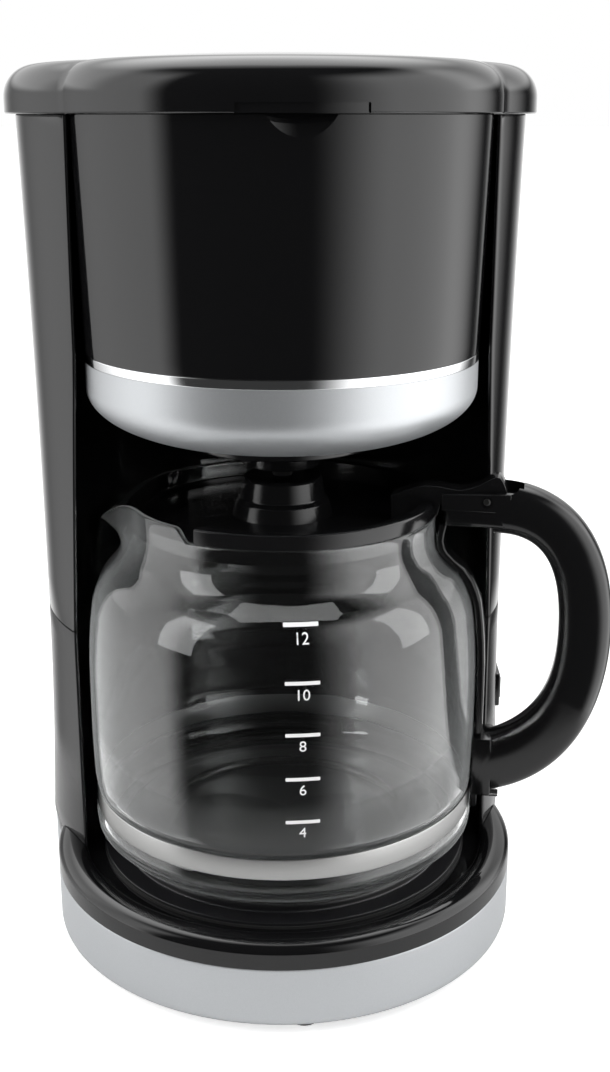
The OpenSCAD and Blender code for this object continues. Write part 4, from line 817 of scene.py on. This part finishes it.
def handleBow():
    up, down = gripCurves()
    shares = [k / grip["steps"] for k in range(grip["steps"] + 1)]
    stations = [(bezier(up[0], t), bezier(up[1], t), t) for t in shares]
    stations += [(bezier(down[0], t), bezier(down[1], t), 1 - t) for t in shares[1:]]
    rings = []
    for outer, inner, share in stations:
        middle, half = (outer + inner) / 2, (outer - inner) / 2
        width = grip["armW"] + (grip["width"] - grip["armW"]) * min(1, 1.6 * share)
        ring = []
        for k in range(grip["sides"]):
            turn = 2 * math.pi * (k + 0.5) / grip["sides"]
            u, v = (math.copysign(abs(f(turn)) ** grip["square"], f(turn)) for f in (math.cos, math.sin))
            place = middle + half * u
            ring.append((place.x, width / 2 * v, place.y))
        rings.append(ring)
    return lofted(rings)


# the cover, its hinge and the arm that holds it: distances from the brew axis, and heights over the rim
cover = {"hingeS": 79.6, "hingeZ": 7.8, "armH": 7.9, "armLow": -2.8, "earW": 3.0, "earTop": 10.2, "pinR": 1.3,
         "skirtH": 5.8, "discZ": -1.8, "turretTop": 13.1, "sheet": 1.8, "holeR": 13.4, "plugH": 4,
         "openHalf": 69}


# the strap that runs up the glass from the band to the arm
def handleSpine():
    low, rim = sizes["glassLow"], sizes["rim"]
    near = [(r, z) for r, z in glassProfile()[2] if z > low + 30] + [(60.4, rim - 6), (61.2, rim - 2)]
    inner, outer = ([(x + across * out, z + up * out) for (x, z), (across, up) in zip(near, outward(near))]
                    for out in (0.6, 3.4))
    shape = slab(inner + outer[::-1], 10, 0.8)
    return finished("handleSpine", turned(shape, carafe["handleAt"]), "satin_black", "carafe", "handle_spine")


# the arm over the shoulder, an ear at each side of the cover's tongue, and the grip
def carafeHandle():
    rim, half = sizes["rim"], grip["armW"] / 2
    s, z, neck = cover["hingeS"], rim + cover["hingeZ"], carafe["neckR"]
    armLow, earTop = rim + cover["armLow"], rim + cover["earTop"]
    armTop = armLow + cover["armH"]
    shape = handleBow()
    # a dip in the near side's crest, where the ear meets the grip; the far side keeps its height
    outline = [(s - 20, earTop + 0.7), (s + 9, earTop + 0.9)]
    outline += arcPoints(s + 9, earTop + 3.9, 3, -math.pi / 2, 0, 8)[1:]
    dip = slab(outline + [(s + 12, earTop + 20), (s - 20, earTop + 20)], 30, 0, half - cover["earW"] - 15)
    shape = combined(shape, "DIFFERENCE", dip)
    arm = slab(walled(armLow, armTop, neck + 3.4, grip["startS"] + 5), grip["armW"], 2.6)
    near, low = sizes["steelR"] + 1.3, sizes["glassLow"]
    foot = block((near, -half, low + grip["footLow"]), (near + 8, half, low + grip["footTop"]))
    bmesh.ops.bevel(foot, geom=foot.edges[:], offset=0.8, segments=3, profile=0.5, affect="EDGES",
                    material=-1)
    root = block((near, -4, low + 15), (near + 2.5, 4, low + 24))
    shape = combined(shape, "UNION", arm, foot, root)
    # the hollow between the ears, for the tongue
    outline = [(s - 20, armTop), (s + 5.5, armTop)]
    outline += arcPoints(s + 5.5, armTop + 8, 8, -math.pi / 2, 0, 16)[1:]
    outline += [(s + 13.5, armTop + 40), (s - 20, armTop + 40)]
    shape = combined(shape, "DIFFERENCE", slab(outline, grip["armW"] - 2 * cover["earW"]))
    outline = [(neck + 2.6, armTop - 1.4), (s + 9, armTop - 1.4), (s + 9, earTop + 0.9),
               (neck + 2.6, earTop)]
    for side in (-1, 1):
        y = side * (grip["armW"] - cover["earW"]) / 2
        bar = slab(outline, cover["earW"], 0.5, y)
        dimple = rod(2.3, (s, side * (half - 0.5), z), (s, side * (half + 2), z), 48)
        shape = combined(combined(shape, "UNION", bar), "DIFFERENCE", dimple)
    shape = combined(shape, "DIFFERENCE", rod(cover["pinR"] + 0.05, (s, -20, z), (s, 20, z)))
    shape = turned(shape, carafe["handleAt"])
    return finished("carafeHandle", shape, "satin_black", "carafe", "carafe_handle")


def coverPin():
    s, z, half = cover["hingeS"], sizes["rim"] + cover["hingeZ"], grip["armW"] / 2 + 0.1
    shape = rod(cover["pinR"], (s, -half, z), (s, half, z))
    rims = [e for e in shape.edges if abs(e.verts[0].co.y - e.verts[1].co.y) < 1e-4]
    bmesh.ops.bevel(shape, geom=rims, offset=0.4, segments=3, profile=0.5, affect="EDGES", material=-1)
    shape = turned(shape, carafe["handleAt"])
    return finished("coverPin", shape, "steel", "carafe", "carafe_hinge_pin", finish=darkSteel)


# the top of the cover's tongue from its root to the thumb tab, as (distance, height over the rim)
tongueTop = [(43, 8.1), (48, 10.1), (55, 12.3), (61, 12.3), (66, 11.5), (70, 11.4), (75, 12.8), (79, 15.0),
             (82, 16.6), (84.2, 16.4), (85.8, 14.0), (87.0, 10.8), (87.4, 8.0)]


# a disc sunk in the neck, a skirt on the rim that stays open at the spout, the turret under the machine's
# outlet with a cross inside it, and the tongue that reaches back to the pin
def carafeCover():
    rim, neck, spoutAt = sizes["rim"], carafe["neckR"], carafe["handleAt"] + 180
    low, high, disc = rim + 0.3, rim + 0.3 + cover["skirtH"], rim + cover["discZ"]
    plug, half, hole = neck - carafe["wall"] - 0.6, cover["openHalf"], cover["holeR"]
    under, plugLow, top = disc - cover["sheet"], disc - cover["plugH"], rim + cover["turretTop"]
    skirtSide = softened([(neck, low, 0.4), (neck, high, 1.2), (plug - 2.4, high, 0.6),
                          (plug - 2.4, disc - 0.6, 0), (plug, disc - 0.6, 0.3), (plug, low, 0)])
    skirtArc = spun(skirtSide, 160, turn=360 - 2 * half, start=spoutAt + half)
    discSide = softened([(hole, disc, 0), (plug, disc, 0.3), (plug, plugLow, 0.4), (plug - 1.6, plugLow, 0.4),
                         (plug - 1.6, under, 0.3), (hole, under, 0)])
    lipSide = softened([(plug - 2.4, disc - 0.5, 0), (plug, disc - 0.5, 0), (plug, disc + 1.6, 0.5),
                        (plug - 2.4, disc + 1.6, 0.7)])
    turretSide = softened([(12.8, under, 0), (20, disc - 1, 0.3), (18.2, disc + 5.4, 1.5),
                           (16.6, disc + 7, 1.5), (15.4, top - 0.8, 0.4), (14.8, top, 0.4), (12.8, top, 0.4)])
    shape = combined(spun(discSide, 192), "UNION", spun(lipSide, 192), skirtArc, spun(turretSide, 128))
    bars = [turned(block((-13, -1, top - 8), (13, 1, top - 4.4)), a) for a in (0, 90)]
    shape = combined(shape, "UNION", *bars, rod(4.4, (0, 0, top - 8), (0, 0, top - 4), 48))

    s, z, w = cover["hingeS"], rim + cover["hingeZ"], grip["armW"] - 2 * cover["earW"] - 0.6
    side = [(neck - 3, rim + 1), (neck - 3, high - 2), (neck - 17, high - 2)]
    side += rounded([(r, rim + up) for r, up in tongueTop])
    side += ellipse(s, z, 4.0, 2.5, -20, -90, 6) + [(neck + 2, rim + 5.3), (neck + 1, rim + 1)]
    root = block((plug - 14, -w / 2, disc - 0.5), (plug - 2, w / 2, high + 1))
    tongue = combined(slab(side, w, 0.5), "UNION", root)
    shape = combined(shape, "UNION", turned(tongue, carafe["handleAt"]))
    bore = turned(rod(cover["pinR"] + 0.06, (s, -20, z), (s, 20, z)), carafe["handleAt"])
    shape = combined(shape, "DIFFERENCE", bore)
    return finished("carafeCover", shape, "satin_black", "carafe_cover", "carafe_lid")


# printed cup marks: a bar with its number below, facing the front on the glass
marks = {"width": 12.4, "bar": 1.3, "size": 5.6, "gap": 1.6, "off": 0.03, "thick": 0.12,
         "cups": {12: 150.5, 10: 131.0, 8: 111.8, 6: 94.8, 4: 77.9}}


def glassR(z):
    _, steel, body, rim = glassProfile()
    points = steel + body + [(carafe["neckR"], rim)]
    for (r0, z0), (r1, z1) in zip(points, points[1:]):
        if z0 <= z <= z1:
            return r0 + (r1 - r0) * (z - z0) / (z1 - z0)
    return points[-1][0]


def cupMarks():
    shapes = []
    for cups, z in marks["cups"].items():
        bar = bmesh.new()
        bmesh.ops.create_grid(bar, x_segments=12, y_segments=1, size=0.5)
        bmesh.ops.scale(bar, vec=(marks["width"], marks["bar"], 1), verts=bar.verts)
        bmesh.ops.translate(bar, vec=(0, z, 0), verts=bar.verts)
        words = bpy.data.curves.new("cups", "FONT")
        words.body, words.size, words.align_x = str(cups), marks["size"], "CENTER"
        words.offset_y = z - marks["bar"] / 2 - marks["gap"] - 0.7 * marks["size"]
        holder = bpy.data.objects.new("cups", words)
        number = bmesh.new()
        number.from_mesh(holder.to_mesh())
        bpy.data.objects.remove(holder)
        bpy.data.curves.remove(words)
        shapes += [bar, number]
    shape = joined(*shapes)
    bmesh.ops.remove_doubles(shape, verts=shape.verts, dist=0.001)
    grown = bmesh.ops.extrude_face_region(shape, geom=shape.faces[:])
    top = {v for v in grown["geom"] if isinstance(v, bmesh.types.BMVert)}
    for vert in shape.verts:
        x, z, _ = vert.co
        r = glassR(z) + (marks["off"] + marks["thick"] if vert in top else marks["off"])
        vert.co = (r * math.sin(x / r), -r * math.cos(x / r), z)
    bmesh.ops.recalc_face_normals(shape, faces=shape.faces)
    return finished("cupMarks", shape, None, "carafe", finish=printInk)


for make in (upperHousing, lowerColumn, powerSwitch, drum, chromeBand, silverBowl, outletRing, skirt, deck,
             hotPlate, brewLid, carafeGlass, steelBand, handleSpine, carafeHandle, coverPin, carafeCover,
             cupMarks):
    make()
    print("made", make.__name__)


# the studio: white all round for the eye, and for reflections a dark front between two bright sides
camera = {"distance": 528, "height": 320.3, "left": 5.0, "pan": 0.95, "down": 16.71, "lens": 47.0}
lamps = {
    "left": {"place": (-620, -260, 420), "size": (300, 620), "power": 3.0, "aim": (0, 0, 190)},
    "right": {"place": (640, -180, 400), "size": (280, 620), "power": 2.4, "aim": (0, 0, 190)},
    "top": {"place": (0, -120, 900), "size": (620, 420), "power": 3.0, "aim": (0, 20, 150)},
}
# what reflections see: how bright each part is, and the angles over which it comes in and goes out again,
# in degrees round from the camera or up from the horizon
surround = {"left": 2.0, "leftIn": (56, 74), "leftOut": (70, 165),
            "right": 2.5, "rightIn": (14, 62), "rightOut": (103, 140), "sidesOut": (40, 62),
            "behind": 1.0, "behindIn": (140, 165), "behindOut": (4, 16),
            "wallIn": (95, 120), "wallUp": (6, 14),
            "above": 3.2, "aboveLean": 0.5, "aboveIn": (0.86, 1.10), "front": 0.04, "diffuse": 0.45,
            "clearIn": (95, 125)}
# the floor: white behind the machine for what is seen through the glass, and near it for reflections
ground = {"color": (0.85, 0.85, 0.85, 1), "glow": 0.62, "pastIn": (-0.05, 0.1), "farIn": (0.19, 0.25)}


# a soft step from 0 to 1 as the value passes from the start to the end
def step(value, start, end):
    limits = {"From Min": start, "From Max": end, "To Min": 0.0, "To Max": 1.0}
    return value.finish.node("ShaderNodeMapRange", {"interpolation_type": "SMOOTHSTEP"},
                             {"Value": value, **limits})["Result"]


def makeWorld():
    world = bpy.data.worlds.new("studio")
    bpy.context.scene.world = world
    world.use_nodes = True
    tree = Shading(world.node_tree)
    toward = tree.node("ShaderNodeTexCoord", {}, {})["Generated"]
    parts = tree.node("ShaderNodeSeparateXYZ", {}, {"Vector": toward})
    turn = parts["X"].math("ARCTAN2", parts["Y"] * -1) * (180 / math.pi) + camera["left"]
    height = parts["Z"].math("ARCSINE", 0) * (180 / math.pi)
    aside = turn.math("ABSOLUTE", 0)
    left = step(turn * -1, *surround["leftIn"]) * (1 - step(turn * -1, *surround["leftOut"]))
    right = step(turn, *surround["rightIn"]) * (1 - step(turn, *surround["rightOut"]))
    sides = (left * surround["left"] + right * surround["right"]) * (1 - step(height, *surround["sidesOut"]))
    behind = step(aside, *surround["behindIn"]) * (1 - step(height, *surround["behindOut"]))
    behind = behind.math("MAXIMUM", step(aside, *surround["wallIn"]) * step(height, *surround["wallUp"]))
    above = step(parts["Y"] * surround["aboveLean"] + parts["Z"], *surround["aboveIn"])
    level = sides + behind * surround["behind"] + above * surround["above"] + surround["front"]
    # the eye sees white all round, and through the glass only what lies behind the machine is white
    rays = tree.node("ShaderNodeLightPath", {}, {})
    clear = step(aside, *surround["clearIn"])
    seen = rays["Is Camera Ray"].math("MAXIMUM", rays["Is Transmission Ray"] * clear)
    soft = rays["Is Diffuse Ray"]
    level = level * (1 - soft) + soft * surround["diffuse"]
    strength = level * (1 - seen) + seen
    back = world.node_tree.nodes["Background"]
    world.node_tree.links.new(strength.socket, back.inputs["Strength"])
    back.inputs["Color"].default_value = (1, 1, 1, 1)


# white to the eye, with the shadow that falls on it; reflections don't see it far out, nor does the glass
# see it in front of the machine
def paleFloor():
    material = bpy.data.materials.new("paleFloor")
    material.use_nodes = True
    tree = Shading(material.node_tree)
    rays = tree.node("ShaderNodeLightPath", {}, {})
    place = tree.node("ShaderNodeNewGeometry", {}, {})["Position"]
    spot = tree.node("ShaderNodeSeparateXYZ", {}, {"Vector": place})
    past = step(spot["Y"], *ground["pastIn"])
    far = step((spot["X"] * spot["X"] + spot["Y"] * spot["Y"]).math("SQRT", 0), *ground["farIn"])
    seen = rays["Is Camera Ray"].math("MAXIMUM", rays["Is Transmission Ray"] * past)
    lit = tree.node("ShaderNodeBsdfDiffuse", {}, {"Color": ground["color"]})["BSDF"]
    glow = tree.node("ShaderNodeEmission", {}, {"Strength": seen * ground["glow"]})["Emission"]
    both = tree.node("ShaderNodeAddShader", {}, {0: lit, 1: glow})["Shader"]
    clear = tree.node("ShaderNodeBsdfTransparent", {}, {})["BSDF"]
    hidden = (rays["Is Glossy Ray"] * far).math("MAXIMUM", rays["Is Transmission Ray"] * (1 - past))
    both = tree.node("ShaderNodeMixShader", {}, {0: hidden, 1: both, 2: clear})["Shader"]
    out = material.node_tree.nodes["Material Output"]
    material.node_tree.links.new(both.socket, out.inputs["Surface"])
    return material


def makeStudio():
    scene = bpy.context.scene
    scene.view_settings.view_transform = "Standard"
    makeWorld()
    shape = bmesh.new()
    bmesh.ops.create_grid(shape, x_segments=1, y_segments=1, size=40)
    data = bpy.data.meshes.new("floor")
    shape.to_mesh(data)
    shape.free()
    floor = bpy.data.objects.new("floor", data)
    floor.location.z = -0.0002
    data.materials.append(paleFloor())
    scene.collection.objects.link(floor)

    for name, lamp in lamps.items():
        light = bpy.data.lights.new(name, "AREA")
        light.shape = "RECTANGLE"
        light.size, light.size_y = (length * mm for length in lamp["size"])
        light.energy = lamp["power"]
        holder = bpy.data.objects.new(name, light)
        holder.location = brewAxis + Vector(lamp["place"]) * mm
        aim = brewAxis + Vector(lamp["aim"]) * mm
        holder.rotation_euler = (aim - holder.location).to_track_quat("-Z", "Y").to_euler()
        holder.visible_glossy = False
        scene.collection.objects.link(holder)

    turn = math.radians(camera["left"])
    lens = bpy.data.cameras.new("view")
    lens.lens = camera["lens"]
    lens.sensor_width = 36
    lens.clip_start = 0.01
    eye = bpy.data.objects.new("view", lens)
    eye.location = brewAxis + Vector((-math.sin(turn) * camera["distance"],
                                      -math.cos(turn) * camera["distance"], camera["height"])) * mm
    eye.rotation_euler = (math.radians(90 - camera["down"]), 0, -math.radians(camera["left"] + camera["pan"]))
    scene.collection.objects.link(eye)
    scene.camera = eye
    print("studio made")


makeStudio()
